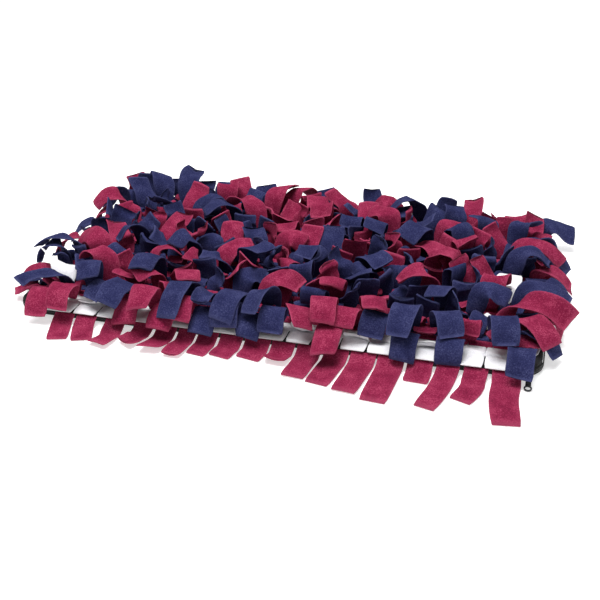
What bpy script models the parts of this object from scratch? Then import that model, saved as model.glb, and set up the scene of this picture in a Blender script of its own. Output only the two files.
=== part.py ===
"""Snuffle mat: a low padded mat with a zip round its rim, a white fleece top,
and rows of navy and maroon fleece strips knotted to it as a deep pile.

Frame: metres, +Z up. The origin is the middle of the flat underside, +X runs
along the length and -Y is the front. Sizes below are in millimetres, and MM
turns them into metres where a mesh is made.
"""

import bmesh
import bpy
import numpy as np
from mathutils.bvhtree import BVHTree

MM = 0.001

# The mat
PAD_LENGTH = 620.0
PAD_WIDTH = 370.0
PAD_HEIGHT = 12.0
CORNER_RADIUS = 30.0
CORNER_STEPS = 6
RIM_ROUND = 3.0
GAP = 0.3

# The zip round the rim
ZIP_LOW = 2.5
ZIP_HIGH = 9.5
ZIP_THICK = 1.5

# The slider on the front right corner and its puller, which lies forward
SLIDER_ANGLE = -58.0
SLIDER_SIZE = (9.0, 3.0, 9.0)
SLIDER_HEIGHT = 6.2
PULLER_START = (297.6, -187.3, 5.8)
PULLER_TILT = 12.0
PULLER_THICK = 1.6
PULLER_HALF = 3.1
RING_MIDDLE = -18.2
RING_HALVES = (4.4, 4.2)
HOLE_HALVES = (3.0, 2.8)

# Fleece
FLEECE = 2.0
STRIP_WIDTH = 30.0
ROOT_WIDTH = 18.0
NARROW_ROOT = 9.0
CLOTH_SIDE_INSET = 4.0
CLOTH_FRONT_LIP = 8.0
CLOTH_BOTTOM = PAD_HEIGHT + GAP
CLOTH_TOP = CLOTH_BOTTOM + FLEECE
FRONT_EDGE = -PAD_WIDTH / 2 - CLOTH_FRONT_LIP

# White tabs along the front rim
TAB_MIDDLES = (-216.0, -186.0, 44.0, 106.0, 136.5, 188.0, 234.0, 264.0)
TAB_WIDTH = 29.0
TAB_BAR_HALF = 280.0
TAB_BACK = -156.0
TAB_FRONT = FRONT_EDGE + 19.0
TAB_BAR_DEPTH = 3.0
SLITS = (-231.0, -201.0, -171.0, 29.0, 59.0, 91.0, 121.2, 152.0, 173.0, 203.0, 219.0, 249.0)
SLIT_WIDTH = 1.2
SLIT_DEPTH = 26.0

# Rows of strips
ROW_COUNT = 13
ROW_FRONT = -142.0
ROW_PITCH = 25.0
SLOT_COUNT = 19
SLOT_PITCH = 32.4
BAR_LENGTH = 598.0
BAR_WIDTH = 5.0
BAR_HEIGHT = 3.0
BAR_OFFSET = 4.0
BAR_BOTTOM = CLOTH_TOP + GAP
ROOT_HEIGHT = BAR_BOTTOM + 1.5
SECTIONS = 5
ROOT_FACES = 12

# Clearance kept round every strip, and the seed of the pile's scatter
CLEARANCE = 0.35
SEED = 11
TRIES = 60
SHAPES_TRIED = 5
LIFT_STEP = 3.5
LIFT_LEVELS = 5
HIGHEST_TIP = 56.0
HIGHEST_BEND = 64.0
MOST_RISE = 60.0
LEAN_SPREAD = 45.0
WIDE_LEAN = 150.0
WIDE_SHARE = 0.3
STANDING_SHARE = 0.36
LEAST_PROGRESS = 0.12
KEY_SPREAD = np.array([22.0, 22.0, 12.0, 20.0, 20.0, 60.0])
FILL_SPREAD = np.array([26.0, 26.0, 16.0, 26.0, 24.0, 60.0])
NAVY_SHARE = 0.58
BARE_TIP_Y = -180.0
FULL_TIP_Y = -190.0
# A slot left bare gets a narrower, shorter strip that stands among the others
SHORT_WIDTH = 22.0
SHORT_SHAPES = 8

NAVY, MAROON, WHITE = "navy", "maroon", "white"

# The strips that give the pile its shape: each leaves the slot nearest to
# root_x in its row, rises, and comes down to its tip from droop above it.
# roll turns the tip about its own length.
# colour, row, root_x, tip_x, tip_y, tip_z, rise, droop, roll
KEY_STRIPS = (
    # left end, front to back
    (NAVY, 2, -253, -308, -150, 28, 30, 5, 55),
    (NAVY, 0, -275, -302, -176, 20, 22, 12, 0),
    (NAVY, 3, -275, -332, -80, 28, 32, 20, 20),
    (MAROON, 4, -253, -306, -50, 34, 35, 12, -25),
    (NAVY, 6, -275, -316, -6, 30, 32, 12, -20),
    (MAROON, 4, -231, -262, 4, 44, 30, -6, 20),
    (NAVY, 6, -231, -214, 24, 50, 30, -10, 20),
    (MAROON, 2, -209, -238, -134, 24, 44, 34, 10),
    (NAVY, 3, -209, -240, -96, 28, 42, 24, -10),
    (MAROON, 3, -187, -188, -116, 20, 52, 40, 8),
    (NAVY, 4, -187, -168, -70, 24, 45, 36, -8),
    (NAVY, 4, -121, -152, -62, 32, 34, 14, -10),
    (NAVY, 8, -209, -206, 70, 52, 26, -14, 0),
    (MAROON, 6, -187, -176, 44, 48, 22, -12, 8),
    (MAROON, 6, -143, -146, 38, 56, 26, -16, 4),
    (MAROON, 6, -121, -106, 32, 52, 24, -14, -8),
    # front slope, left to right
    (NAVY, 2, -165, -184, -146, 30, 38, 18, 20),
    (MAROON, 0, -143, -146, -186, 28, 34, 16, 6),
    (NAVY, 0, -99, -104, -184, 28, 34, 14, 8),
    (NAVY, 0, -11, -14, -184, 30, 36, 16, 4),
    (NAVY, 2, -99, -124, -146, 34, 36, 12, 10),
    (MAROON, 2, -55, -82, -150, 38, 34, 10, -8),
    (MAROON, 2, 33, 30, -156, 34, 42, 18, -6),
    (NAVY, 2, -11, -6, -150, 46, 46, 12, 6),
    (MAROON, 3, -55, -104, -92, 36, 34, 12, 8),
    (NAVY, 3, -77, -112, -66, 40, 34, 8, 12),
    (NAVY, 3, 11, 36, -112, 30, 46, 32, -10),
    (MAROON, 2, 55, 68, -160, 24, 44, 32, 14),
    (NAVY, 4, 77, 68, -84, 20, 50, 46, 0),
    (NAVY, 4, 99, 100, -96, 20, 54, 50, 0),
    (NAVY, 2, 99, 108, -148, 30, 34, 14, -8),
    (NAVY, 3, 143, 152, -122, 32, 38, 18, -6),
    (NAVY, 2, 165, 166, -158, 30, 42, 24, -4),
    (NAVY, 0, 209, 213, -180, 34, 44, 26, 0),
    (MAROON, 3, 187, 204, -112, 24, 46, 34, -14),
    (NAVY, 4, 187, 222, -62, 30, 48, 30, 14),
    # right end
    (NAVY, 0, 292, 304, -188, 30, 36, 24, 0),
    (MAROON, 1, 276, 318, -152, 18, 36, 24, 10),
    (NAVY, 3, 276, 330, -56, 18, 36, 22, 8),
    (MAROON, 5, 276, 328, -2, 18, 36, 22, -8),
    (NAVY, 7, 276, 326, 34, 18, 36, 22, 8),
    (MAROON, 2, 275, 326, -114, 16, 26, 18, 15),
    (MAROON, 3, 275, 340, -76, 14, 26, 18, 40),
    (MAROON, 4, 275, 320, -20, 22, 34, 26, -10),
    (NAVY, 6, 275, 308, 16, 26, 36, 22, 12),
    (MAROON, 8, 275, 322, 54, 18, 34, 30, 14),
    (NAVY, 9, 275, 306, 84, 22, 46, 38, 8),
    (NAVY, 8, 253, 286, 40, 40, 46, 26, -8),
    (MAROON, 9, 231, 224, 98, 54, 24, -12, 0),
    (NAVY, 10, 231, 206, 132, 44, 54, 8, 30),
    (NAVY, 10, 253, 280, 132, 40, 54, 12, -30),
    (NAVY, 9, 187, 190, 52, 28, 46, 34, 8),
    # middle
    (MAROON, 6, 11, 4, 40, 54, 24, -14, 0),
    (NAVY, 6, 33, 30, 44, 54, 24, -14, 0),
    (MAROON, 6, 55, 66, -4, 44, 26, 8, 24),
    (NAVY, 6, -55, -50, -24, 36, 50, 32, 0),
    (MAROON, 4, -11, -14, -64, 40, 40, 8, 20),
    # back edge, left to right
    (NAVY, 10, -275, -286, 136, 56, 24, -10, 10),
    (NAVY, 12, -231, -228, 168, 50, 22, -10, 0),
    (MAROON, 10, -187, -188, 142, 50, 26, -8, 6),
    (NAVY, 12, -165, -162, 172, 50, 24, -10, 4),
    (MAROON, 12, -143, -142, 176, 48, 24, -8, -4),
    (NAVY, 12, -99, -102, 176, 50, 24, -12, -6),
    (NAVY, 12, -11, -14, 180, 50, 24, -12, 4),
    (MAROON, 12, 11, -2, 166, 56, 26, -14, 0),
    (MAROON, 10, 55, 54, 152, 50, 24, -12, -8),
    (NAVY, 12, 55, 48, 184, 50, 24, -10, 8),
)
# Stretches of the front rim, from and to, where only the white tabs show
BARE_RIM = ((-232, -182), (26, 62), (94, 152), (182, 202), (222, 266))
# Tufts that fall over the front rim between those stretches, each with its
# own backing: colour, first_x, last_x, count, tip_y
FRONT_TUFTS = (
    (MAROON, -270, -243, 2, -210),
    (MAROON, -162, -93, 4, -208),
    (NAVY, -67, 14, 4, -204),
    (MAROON, 79, 79, 1, -216),
    (NAVY, 162, 162, 1, -198),
    (NAVY, 211, 211, 1, -200),
    (NAVY, 287, 287, 1, -204),
)
TUFT_ROW_Y = -164.0
TUFT_SPREAD = np.array([5.0, 8.0, 8.0, 12.0, 10.0, 16.0])

# The fringe that comes out from under the front edge and lies on the floor
# root_x, tip_x, tip_y, swing, width
FRINGE = (
    (-241, -230, -236, 0, 25),
    (-213, -202, -231, 0, 25),
    (-176, -179, -240, 4, 25),
    (-140, -150, -230, 0, 25),
    (-112, -118, -238, 0, 25),
    (-86, -90, -240, 0, 22),
    (-61, -65, -228, 0, 24),
    (-33, -38, -226, 0, 27),
    (-2, -6, -222, 0, 30),
    (28, 25, -226, 0, 27),
    (58, 52, -246, 0, 28),
    (89, 80, -252, 0, 28),
    (119, 111, -260, 0, 29),
    (150, 144, -270, 0, 30),
    (182, 181, -222, 0, 28),
    (212, 197, -268, 3, 25),
    (242, 231, -246, 5, 26),
    (274.5, 281, -278, -4, 31),
)
FRINGE_BAR_Y = -PAD_WIDTH / 2 - 4.5
FRINGE_BAR_Z = 9.0
FRINGE_SECTIONS = 6

# Tails near the ends of the mat: white ones that show between the others, and
# low ones that fall over the end rims. Each has its own backing in a furrow.
# colour, root_x, root_y, tip_x, tip_y, tip_z, rise, droop, roll
END_TAILS = (
    (WHITE, -264, -129.5, -310, -96, 34, 24, 4, 60),
    (WHITE, 256, -54.5, 262, -4, 36, 18, -6, 0),
    (WHITE, 262, -104.5, 246, -122, 24, 20, 4, 0),
    (MAROON, -288, -104.5, -326, -120, 9, 28, 28, 0),
    (NAVY, -290, -79.5, -332, -84, 11, 30, 28, 0),
    (MAROON, -290, -29.5, -330, -38, 9, 28, 28, 8),
    (NAVY, -290, 20.5, -332, 14, 11, 28, 28, -8),
    (MAROON, -290, 70.5, -330, 66, 9, 28, 28, 0),
    (NAVY, -284, 120.5, -322, 124, 11, 28, 28, 0),
    (NAVY, 286, -129.5, 324, -146, 9, 28, 28, 0),
    (MAROON, 290, -79.5, 332, -90, 9, 28, 28, 0),
    (NAVY, 290, -29.5, 330, -34, 11, 28, 28, 8),
    (MAROON, 290, 20.5, 330, 14, 9, 28, 28, -8),
    (NAVY, 290, 70.5, 330, 64, 11, 28, 28, 0),
    (MAROON, 284, 120.5, 320, 122, 9, 28, 28, 0),
)


def clear_scene():
    """Remove what the scene holds at the start."""
    for obj in list(bpy.data.objects):
        bpy.data.objects.remove(obj, do_unlink=True)


def new_material(name, colour, roughness):
    """A plain finish: colour, roughness, no metal."""
    material = bpy.data.materials.new(name)
    material.use_nodes = True
    shader = material.node_tree.nodes["Principled BSDF"]
    shader.inputs["Base Color"].default_value = (*colour, 1.0)
    shader.inputs["Roughness"].default_value = roughness
    shader.inputs["Metallic"].default_value = 0.0
    return material


def new_collection(name):
    """A collection linked to the scene."""
    collection = bpy.data.collections.new(name)
    bpy.context.scene.collection.children.link(collection)
    return collection


def add_object(name, vertices, faces, collection, material=None):
    """An object from vertices in millimetres, its faces made triangles."""
    mesh = bpy.data.meshes.new(name)
    mesh.from_pydata((np.asarray(vertices) * MM).tolist(), [], faces)
    shape = bmesh.new()
    shape.from_mesh(mesh)
    bmesh.ops.triangulate(shape, faces=shape.faces)
    shape.to_mesh(mesh)
    shape.free()
    if material:
        mesh.materials.append(material)
    obj = bpy.data.objects.new(name, mesh)
    collection.objects.link(obj)
    return obj


def rounded_outline(length, width, radius, steps=CORNER_STEPS):
    """Corner arcs of an oblong, anticlockwise, centred on the origin."""
    points = []
    for corner in range(4):
        side_x = 1 if corner in (0, 3) else -1
        side_y = 1 if corner in (0, 1) else -1
        centre = (side_x * (length / 2 - radius), side_y * (width / 2 - radius))
        for step in range(steps + 1):
            angle = np.radians(90.0 * (corner + step / steps))
            points.append((centre[0] + radius * np.cos(angle), centre[1] + radius * np.sin(angle)))
    return points


def slab(outline, low, high):
    """Vertices and faces of an outline pulled up from low to high."""
    count = len(outline)
    vertices = [(x, y, z) for z in (low, high) for x, y in outline]
    faces = [tuple(reversed(range(count))), tuple(range(count, 2 * count))]
    faces += [(i, (i + 1) % count, count + (i + 1) % count, count + i) for i in range(count)]
    return vertices, faces


def box(low, high):
    """Vertices and faces of a box between two corners."""
    outline = [(low[0], low[1]), (high[0], low[1]), (high[0], high[1]), (low[0], high[1])]
    return slab(outline, low[2], high[2])


def along(root, tip, rise, droop, count=SECTIONS):
    """Points of a cubic curve that leaves the root upwards by rise, and comes
    to the tip from droop above it."""
    root, tip = np.array(root, float), np.array(tip, float)
    level = (tip - root) * (1, 1, 0)
    leave = root + level * 0.10 + (0, 0, rise)
    arrive = tip - level * 0.30 + (0, 0, droop)
    t = np.linspace(0.0, 1.0, count)[:, None]
    s = 1.0 - t
    return s**3 * root + 3 * s * s * t * leave + 3 * s * t * t * arrive + t**3 * tip


def directions(route, roll, upright_root=True):
    """Unit vectors across a strip and out of its face, at each point of its route.
    The width starts along X, turns to lie level across the route, and rolls about
    the route by roll degrees at the tip."""
    count = len(route)
    t = np.linspace(0.0, 1.0, count)
    tangent = np.gradient(route, axis=0)
    if upright_root:
        tangent[0] = (0.0, 0.0, 1.0)
    tangent /= np.linalg.norm(tangent, axis=1)[:, None]
    level = route[-1] - route[0]
    across = np.array([-level[1], level[0], 0.0])
    across *= -1.0 if across[0] < 0 else 1.0
    across /= max(np.linalg.norm(across), 1e-6)
    turn = np.clip(t / 0.5, 0.0, 1.0)[:, None]
    side = (1 - turn) * np.array([1.0, 0.0, 0.0]) + turn * across
    side -= (side * tangent).sum(1)[:, None] * tangent
    side /= np.linalg.norm(side, axis=1)[:, None]
    normal = np.cross(tangent, side)
    angle = np.radians(roll) * t * t * (3 - 2 * t)
    wide = np.cos(angle)[:, None] * side + np.sin(angle)[:, None] * normal
    return wide, np.cross(tangent, wide)


def ribbon(route, widths, roll, thick=FLEECE, upright_root=True):
    """Vertices and faces of a flat strip lofted along a route."""
    wide, normal = directions(route, roll, upright_root)
    half = np.asarray(widths)[:, None] / 2
    corners = [
        route + wide * half * a + normal * (thick / 2) * b
        for a, b in ((-1, -1), (1, -1), (1, 1), (-1, 1))
    ]
    vertices = np.stack(corners, axis=1).reshape(-1, 3)
    last = 4 * (len(route) - 1)
    faces = [(3, 2, 1), (3, 1, 0), (last, last + 1, last + 2), (last, last + 2, last + 3)]
    for a in range(0, last, 4):
        # both broad sides are split along the same diagonal, so they stay apart in a twist
        for near, beside, opposite, ahead in ((0, 1, 5, 4), (1, 2, 6, 5), (3, 7, 6, 2), (3, 0, 4, 7)):
            faces.append((a + near, a + beside, a + opposite))
            faces.append((a + near, a + opposite, a + ahead))
    return vertices, faces


def creased(vertices):
    """Whether a corner line of a ribbon runs back on itself in any span."""
    sections = vertices.reshape(-1, 4, 3)
    middles = sections.mean(1)
    forward = np.diff(middles, axis=0)[:, None]
    progress = (np.diff(sections, axis=0) * forward).sum(2) / (forward**2).sum(2)
    return progress.min() < LEAST_PROGRESS


def crosses_itself(vertices, faces):
    """Whether two faces of a ribbon that share no corner cross."""
    tree = BVHTree.FromPolygons(vertices.tolist(), faces)
    return any(set(faces[a]).isdisjoint(faces[b]) for a, b in tree.overlap(tree))


def strip_widths(count, root=ROOT_WIDTH, full=STRIP_WIDTH):
    """Narrow where the strip is knotted, full from a quarter of its length on."""
    t = np.linspace(0.0, 1.0, count)
    return min(root, full) + max(full - root, 0.0) * np.clip(t / 0.25, 0.0, 1.0)


class Pile:
    """The shapes placed so far, kept as trees of their faces for clearance tests."""

    def __init__(self):
        self.owners, self.trees, self.lows, self.highs = [], [], [], []

    def add(self, owner, vertices, faces):
        """Keep a placed shape under its owner's name."""
        points = np.asarray(vertices, float)
        self.owners.append(owner)
        self.trees.append(BVHTree.FromPolygons(points.tolist(), faces))
        self.lows.append(points.min(0))
        self.highs.append(points.max(0))

    def touched_by(self, vertices, faces, ignore=None):
        """Whether a shape crosses any placed one but those of the owner to ignore."""
        points = np.asarray(vertices, float)
        apart = (np.array(self.lows) > points.max(0)) | (np.array(self.highs) < points.min(0))
        near = np.flatnonzero(~apart.any(1))
        tree = BVHTree.FromPolygons(points.tolist(), faces)
        return any(self.owners[i] != ignore and self.trees[i].overlap(tree) for i in near)


def row_y(row):
    """Middle of a row of knots."""
    return ROW_FRONT + ROW_PITCH * row


def bar_y(row, colour):
    """Middle of the narrow strip that a row's knots of one colour are fused in."""
    return row_y(row) + (BAR_OFFSET if colour == NAVY else -BAR_OFFSET)


def slots_in(row):
    """How many slots a row has: every other row has one less, and lies between."""
    return SLOT_COUNT - row % 2


def slot_x(row, slot):
    """Where a slot lies along its row."""
    return SLOT_PITCH * (slot - (slots_in(row) - 1) / 2)


def bar(row, colour):
    """Vertices and faces of a row's backing."""
    y = bar_y(row, colour)
    half = BAR_LENGTH / 2
    low = (-half, y - BAR_WIDTH / 2, BAR_BOTTOM)
    return box(low, (half, y + BAR_WIDTH / 2, BAR_BOTTOM + BAR_HEIGHT))


def place(pile, root, shape, backing, scatter, spread, wide=STRIP_WIDTH, root_width=ROOT_WIDTH):
    """Lay a strip by its wanted shape, or the nearest one that is clear: each
    try strays a little further, and every few tries it is lifted over its
    neighbours. shape is tip_x, tip_y, tip_z, rise, droop, roll. The strip comes
    back as its route, widths and roll."""
    wanted = np.array(shape, float)
    widths = strip_widths(SECTIONS, root_width, wide)
    for attempt in range(TRIES):
        change = scatter.uniform(-1, 1, 6) * spread * attempt / TRIES
        lift = LIFT_STEP * (attempt % LIFT_LEVELS)
        tip_x, tip_y, tip_z, rise, droop, roll = wanted + change + (0, 0, lift, 1.3 * lift, 0, 0)
        tip_z = min(tip_z, HIGHEST_TIP)
        rise = min(rise, MOST_RISE)
        route = along(root, (tip_x, tip_y, tip_z), rise, droop)
        trial, faces = ribbon(route, widths + 2 * CLEARANCE, roll, FLEECE + 2 * CLEARANCE)
        if not CLEARANCE < trial[:, 2].min() < trial[:, 2].max() < HIGHEST_BEND:
            continue
        # past its first span a strip keeps clear of its own backing too
        if pile.touched_by(trial, faces, backing) or pile.touched_by(trial, faces[ROOT_FACES:]):
            continue
        if creased(trial) or crosses_itself(trial, faces):
            continue
        pile.add("strip", *ribbon(route, widths, roll))
        return route, widths, roll
    return None


def fringe_route(root_x, tip_x, tip_y, swing):
    """From the backing under the front edge, down to the floor, then level."""
    lie = FLEECE / 2 + 0.1
    start = np.array([root_x, FRINGE_BAR_Y, FRINGE_BAR_Z])
    knee = np.array([root_x, FRINGE_BAR_Y - 6.0, 6.0])
    land = np.array([root_x + 0.1 * (tip_x - root_x), FRINGE_BAR_Y - 15.0, lie + 0.9])
    tip = np.array([tip_x, tip_y, lie])
    bend = (land + tip) / 2 + (swing * 0.6, 0, 0)
    return np.array([start, knee, land, (land + bend) / 2 + (swing * 0.2, 0, 0), bend, tip])


def rounded_slab(name, length, width, radius, low, high, collection, material):
    """A slab with round corners and softened rims, from a cube."""
    shape = bmesh.new()
    bmesh.ops.create_cube(shape, size=1.0)
    for vertex in shape.verts:
        vertex.co.x *= length * MM
        vertex.co.y *= width * MM
        vertex.co.z = (low + (vertex.co.z + 0.5) * (high - low)) * MM
    upright = [e for e in shape.edges if abs(e.verts[0].co.z - e.verts[1].co.z) > MM]
    bmesh.ops.bevel(
        shape, geom=upright, offset=radius * MM, segments=CORNER_STEPS, profile=0.5, affect="EDGES"
    )
    rims = [e for e in shape.edges if abs(e.verts[0].co.z - e.verts[1].co.z) < 0.1 * MM]
    bmesh.ops.bevel(
        shape, geom=rims, offset=RIM_ROUND * MM, segments=2, profile=0.5, affect="EDGES"
    )
    mesh = bpy.data.meshes.new(name)
    shape.to_mesh(mesh)
    shape.free()
    mesh.materials.append(material)
    obj = bpy.data.objects.new(name, mesh)
    collection.objects.link(obj)
    return obj


def zip_ring(collection, material):
    """The tape: an open wall round the rim, given its thickness by Solidify."""
    stand_off = 2 * (GAP + ZIP_THICK / 2)
    outline = rounded_outline(
        PAD_LENGTH + stand_off, PAD_WIDTH + stand_off, CORNER_RADIUS + stand_off / 2
    )
    vertices, faces = slab(outline, ZIP_LOW, ZIP_HIGH)
    wall = add_object("zip_band", vertices, faces[2:], collection, material)
    solidify = wall.modifiers.new("tape", "SOLIDIFY")
    solidify.thickness = ZIP_THICK * MM
    solidify.offset = 0.0
    return wall


def zip_slider(collection, material):
    """The slider: a small block against the tape where it rounds the corner."""
    angle = np.radians(SLIDER_ANGLE)
    out = CORNER_RADIUS + 2 * GAP + ZIP_THICK + SLIDER_SIZE[1] / 2
    shape = bmesh.new()
    bmesh.ops.create_cube(shape, size=1.0)
    for vertex in shape.verts:
        vertex.co = [c * size * MM for c, size in zip(vertex.co, SLIDER_SIZE)]
    bmesh.ops.bevel(shape, geom=shape.edges, offset=0.8 * MM, segments=2, profile=0.5, affect="EDGES")
    mesh = bpy.data.meshes.new("zip_slider")
    shape.to_mesh(mesh)
    shape.free()
    mesh.materials.append(material)
    slider = bpy.data.objects.new("zip_slider", mesh)
    slider.location = (
        (PAD_LENGTH / 2 - CORNER_RADIUS + out * np.cos(angle)) * MM,
        (CORNER_RADIUS - PAD_WIDTH / 2 + out * np.sin(angle)) * MM,
        SLIDER_HEIGHT * MM,
    )
    slider.rotation_euler.z = angle + np.pi / 2
    collection.objects.link(slider)
    return slider


def oval(middle, halves, first, last, steps):
    """Points of an oval on the Y axis, from the first to the last angle."""
    angles = np.radians(np.linspace(first, last, steps))
    return [(halves[0] * np.cos(a), middle + halves[1] * np.sin(a)) for a in angles]


def zip_puller(collection, helpers, material):
    """The puller: a tapered plate that ends in an open ring, tilted to the floor."""
    outline = [(-PULLER_HALF, 0.0)] + oval(RING_MIDDLE, RING_HALVES, 135, 405, 13)
    outline.append((PULLER_HALF, 0.0))
    half = PULLER_THICK / 2
    puller = add_object("zip_puller", *slab(outline, -half, half), collection, material)
    hole = oval(RING_MIDDLE, HOLE_HALVES, 0, 330, 12)
    cutter = add_object("puller_hole", *slab(hole, -2 * half, 2 * half), helpers)
    cutter.hide_render = True
    cutter.display_type = "WIRE"
    for obj in (puller, cutter):
        obj.location = [c * MM for c in PULLER_START]
        obj.rotation_euler.x = np.radians(PULLER_TILT)
    cut = puller.modifiers.new("ring", "BOOLEAN")
    cut.operation = "DIFFERENCE"
    cut.solver = "EXACT"
    cut.object = cutter
    return puller


def cloth_outline():
    """The outline of the white sheet, which stands out past the front of the pad."""
    length = PAD_LENGTH - 2 * CLOTH_SIDE_INSET
    back = PAD_WIDTH / 2 - CLOTH_SIDE_INSET
    middle = (back + FRONT_EDGE) / 2
    return [(x, y + middle) for x, y in rounded_outline(length, back - FRONT_EDGE, CORNER_RADIUS)]


def base_cloth(collection, material):
    """The white sheet: a filled flat curve whose front edge is slit into tabs."""
    outline = cloth_outline()
    slits = []
    for x in SLITS:
        deep = FRONT_EDGE + SLIT_DEPTH
        half = SLIT_WIDTH / 2
        slits += [(x - half, FRONT_EDGE), (x - half, deep), (x + half, deep), (x + half, FRONT_EDGE)]
    front = 3 * (CORNER_STEPS + 1)
    outline = outline[:front] + slits + outline[front:]
    curve = bpy.data.curves.new("base_cloth", "CURVE")
    curve.dimensions = "2D"
    curve.fill_mode = "BOTH"
    curve.extrude = FLEECE / 2 * MM
    spline = curve.splines.new("POLY")
    spline.points.add(len(outline) - 1)
    for point, (x, y) in zip(spline.points, outline):
        point.co = (x * MM, y * MM, 0.0, 1.0)
    spline.use_cyclic_u = True
    curve.materials.append(material)
    obj = bpy.data.objects.new("base_cloth", curve)
    obj.location.z = (CLOTH_BOTTOM + FLEECE / 2) * MM
    collection.objects.link(obj)
    return obj


def join_to_backing(name, backing, strips, mat, helpers, material):
    """One solid from a backing and the strips rooted in it, each given as the
    arguments of ribbon."""
    obj = add_object(name, *backing, mat, material)
    vertices, faces = [], []
    for points, sides in [ribbon(*strip) for strip in strips]:
        faces += [tuple(i + len(vertices) for i in side) for side in sides]
        vertices += list(points)
    helper = add_object(name + "_strips", vertices, faces, helpers)
    helper.hide_render = True
    helper.display_type = "WIRE"
    union = obj.modifiers.new("roots", "BOOLEAN")
    union.operation = "UNION"
    # EXACT loses the backing of some rows, and every mesh here is closed
    union.solver = "MANIFOLD"
    union.object = helper
    return obj


def pile_plan():
    """The key strips by row and slot, each with its colour and shape."""
    plan = {}
    for colour, row, root_x, *shape in KEY_STRIPS:
        free = [s for s in range(slots_in(row)) if (row, s) not in plan]
        slot = min(free, key=lambda s: abs(slot_x(row, s) - root_x))
        plan[row, slot] = (colour, shape)
    return plan


def scattered(row, x, y, stands, scatter):
    """A wanted shape for a strip with none of its own. Strips lie over the row in
    front of them, those at the rim fall over it, and some stand up."""
    forward = row < ROW_COUNT - 2
    spread = WIDE_LEAN if scatter.random() < WIDE_SHARE else LEAN_SPREAD
    angle = np.radians((-90 if forward else 90) + scatter.uniform(-spread, spread))
    outward = x / (PAD_LENGTH / 2)
    lean = np.array([np.cos(angle) + 1.8 * outward * abs(outward) ** 3, np.sin(angle)])
    lean /= np.linalg.norm(lean)
    end = 0.0 if stands else outward**8
    reach = scatter.uniform(4, 20) if stands else scatter.uniform(30, 58)
    tip_z = scatter.uniform(42, 54) if stands else scatter.uniform(24, 44) - 22 * end
    rise = scatter.uniform(18, 30) if stands else scatter.uniform(30, 52)
    droop = scatter.uniform(-16, -4) if stands else scatter.uniform(-4, 30)
    roll = scatter.uniform(-45, 45) if stands else scatter.uniform(-35, 35)
    if row == 0:
        bare = any(low < x < high for low, high in BARE_RIM)
        return (x + lean[0] * 12, BARE_TIP_Y if bare else FULL_TIP_Y, 24, rise, 30, roll / 2)
    return (x + lean[0] * reach, y + lean[1] * reach, tip_z, rise, droop, roll)


def shapes_to_try(key, row, x, y, scatter):
    """The shapes for a slot, best first, each with its spread and width: its key
    shape, lying and standing ones, and then narrow ones that stand."""
    if key:
        yield key[1], KEY_SPREAD, STRIP_WIDTH
    for turn in range(SHAPES_TRIED):
        stands = turn >= 3 or scatter.random() < STANDING_SHARE
        yield scattered(row, x, y, stands, scatter), FILL_SPREAD, STRIP_WIDTH
    for _ in range(SHORT_SHAPES):
        yield scattered(row, x, y, True, scatter), FILL_SPREAD, SHORT_WIDTH


def lay_rows(pile, scatter):
    """The strips of every row by row and colour, each row laid over the one in
    front of it, and the two at the back from the back edge inwards."""
    plan = pile_plan()
    rows = {(row, colour): [] for row in range(ROW_COUNT) for colour in (NAVY, MAROON)}
    bare = 0
    for row in (*range(ROW_COUNT - 2), ROW_COUNT - 1, ROW_COUNT - 2):
        slots = scatter.permutation(slots_in(row)).tolist()
        for slot in sorted(slots, key=lambda s: (row, s) not in plan):
            key = plan.get((row, slot))
            colour = key[0] if key else (NAVY if scatter.random() < NAVY_SHARE else MAROON)
            x, y = slot_x(row, slot), bar_y(row, colour)
            root = (x, y, ROOT_HEIGHT)
            for shape, spread, wide in shapes_to_try(key, row, x, y, scatter):
                found = place(pile, root, shape, (row, colour), scatter, spread, wide)
                if found:
                    rows[row, colour].append(found)
                    break
            else:
                bare += 1
    print("strips laid:", sum(map(len, rows.values())), "slots left bare:", bare)
    return rows


def add_ground(pile):
    """Keep the base, its zip, slider and puller, and the cloth in the pile."""
    zip_side = 2 * (GAP + ZIP_THICK + GAP)
    side = rounded_outline(PAD_LENGTH + zip_side, PAD_WIDTH + zip_side, CORNER_RADIUS + 2)
    pile.add("pad", *slab(side, 0, PAD_HEIGHT))
    pile.add("cloth", *slab(cloth_outline(), CLOTH_BOTTOM, CLOTH_TOP))
    x, y, z = PULLER_START
    ring = y + RING_MIDDLE - RING_HALVES[1]
    pile.add("slider", *box((x - 6, y - 2, 1), (x + 6, y + 8, SLIDER_HEIGHT + 5)))
    pile.add("puller", *box((x - 5, ring, 0), (x + 5, y, z + 1)))


def lay_tabs(pile, scatter):
    """The white tabs on the front rim and their backing."""
    tabs = []
    for x in TAB_MIDDLES:
        z = CLOTH_TOP + GAP + FLEECE / 2
        lift = scatter.uniform(0.0, 2.5)
        middle = (TAB_BACK + TAB_FRONT) / 2
        route = np.array([(x, TAB_BACK + 1, z), (x, middle, z), (x, TAB_FRONT, z + lift)])
        tabs.append((route, np.full(3, TAB_WIDTH), 0, FLEECE, False))
        pile.add("tab", *ribbon(*tabs[-1]))
    high = (TAB_BAR_HALF, TAB_BACK + TAB_BAR_DEPTH, BAR_BOTTOM + BAR_HEIGHT)
    backing = box((-TAB_BAR_HALF, TAB_BACK, BAR_BOTTOM), high)
    pile.add("tab", *backing)
    return backing, tabs


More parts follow.
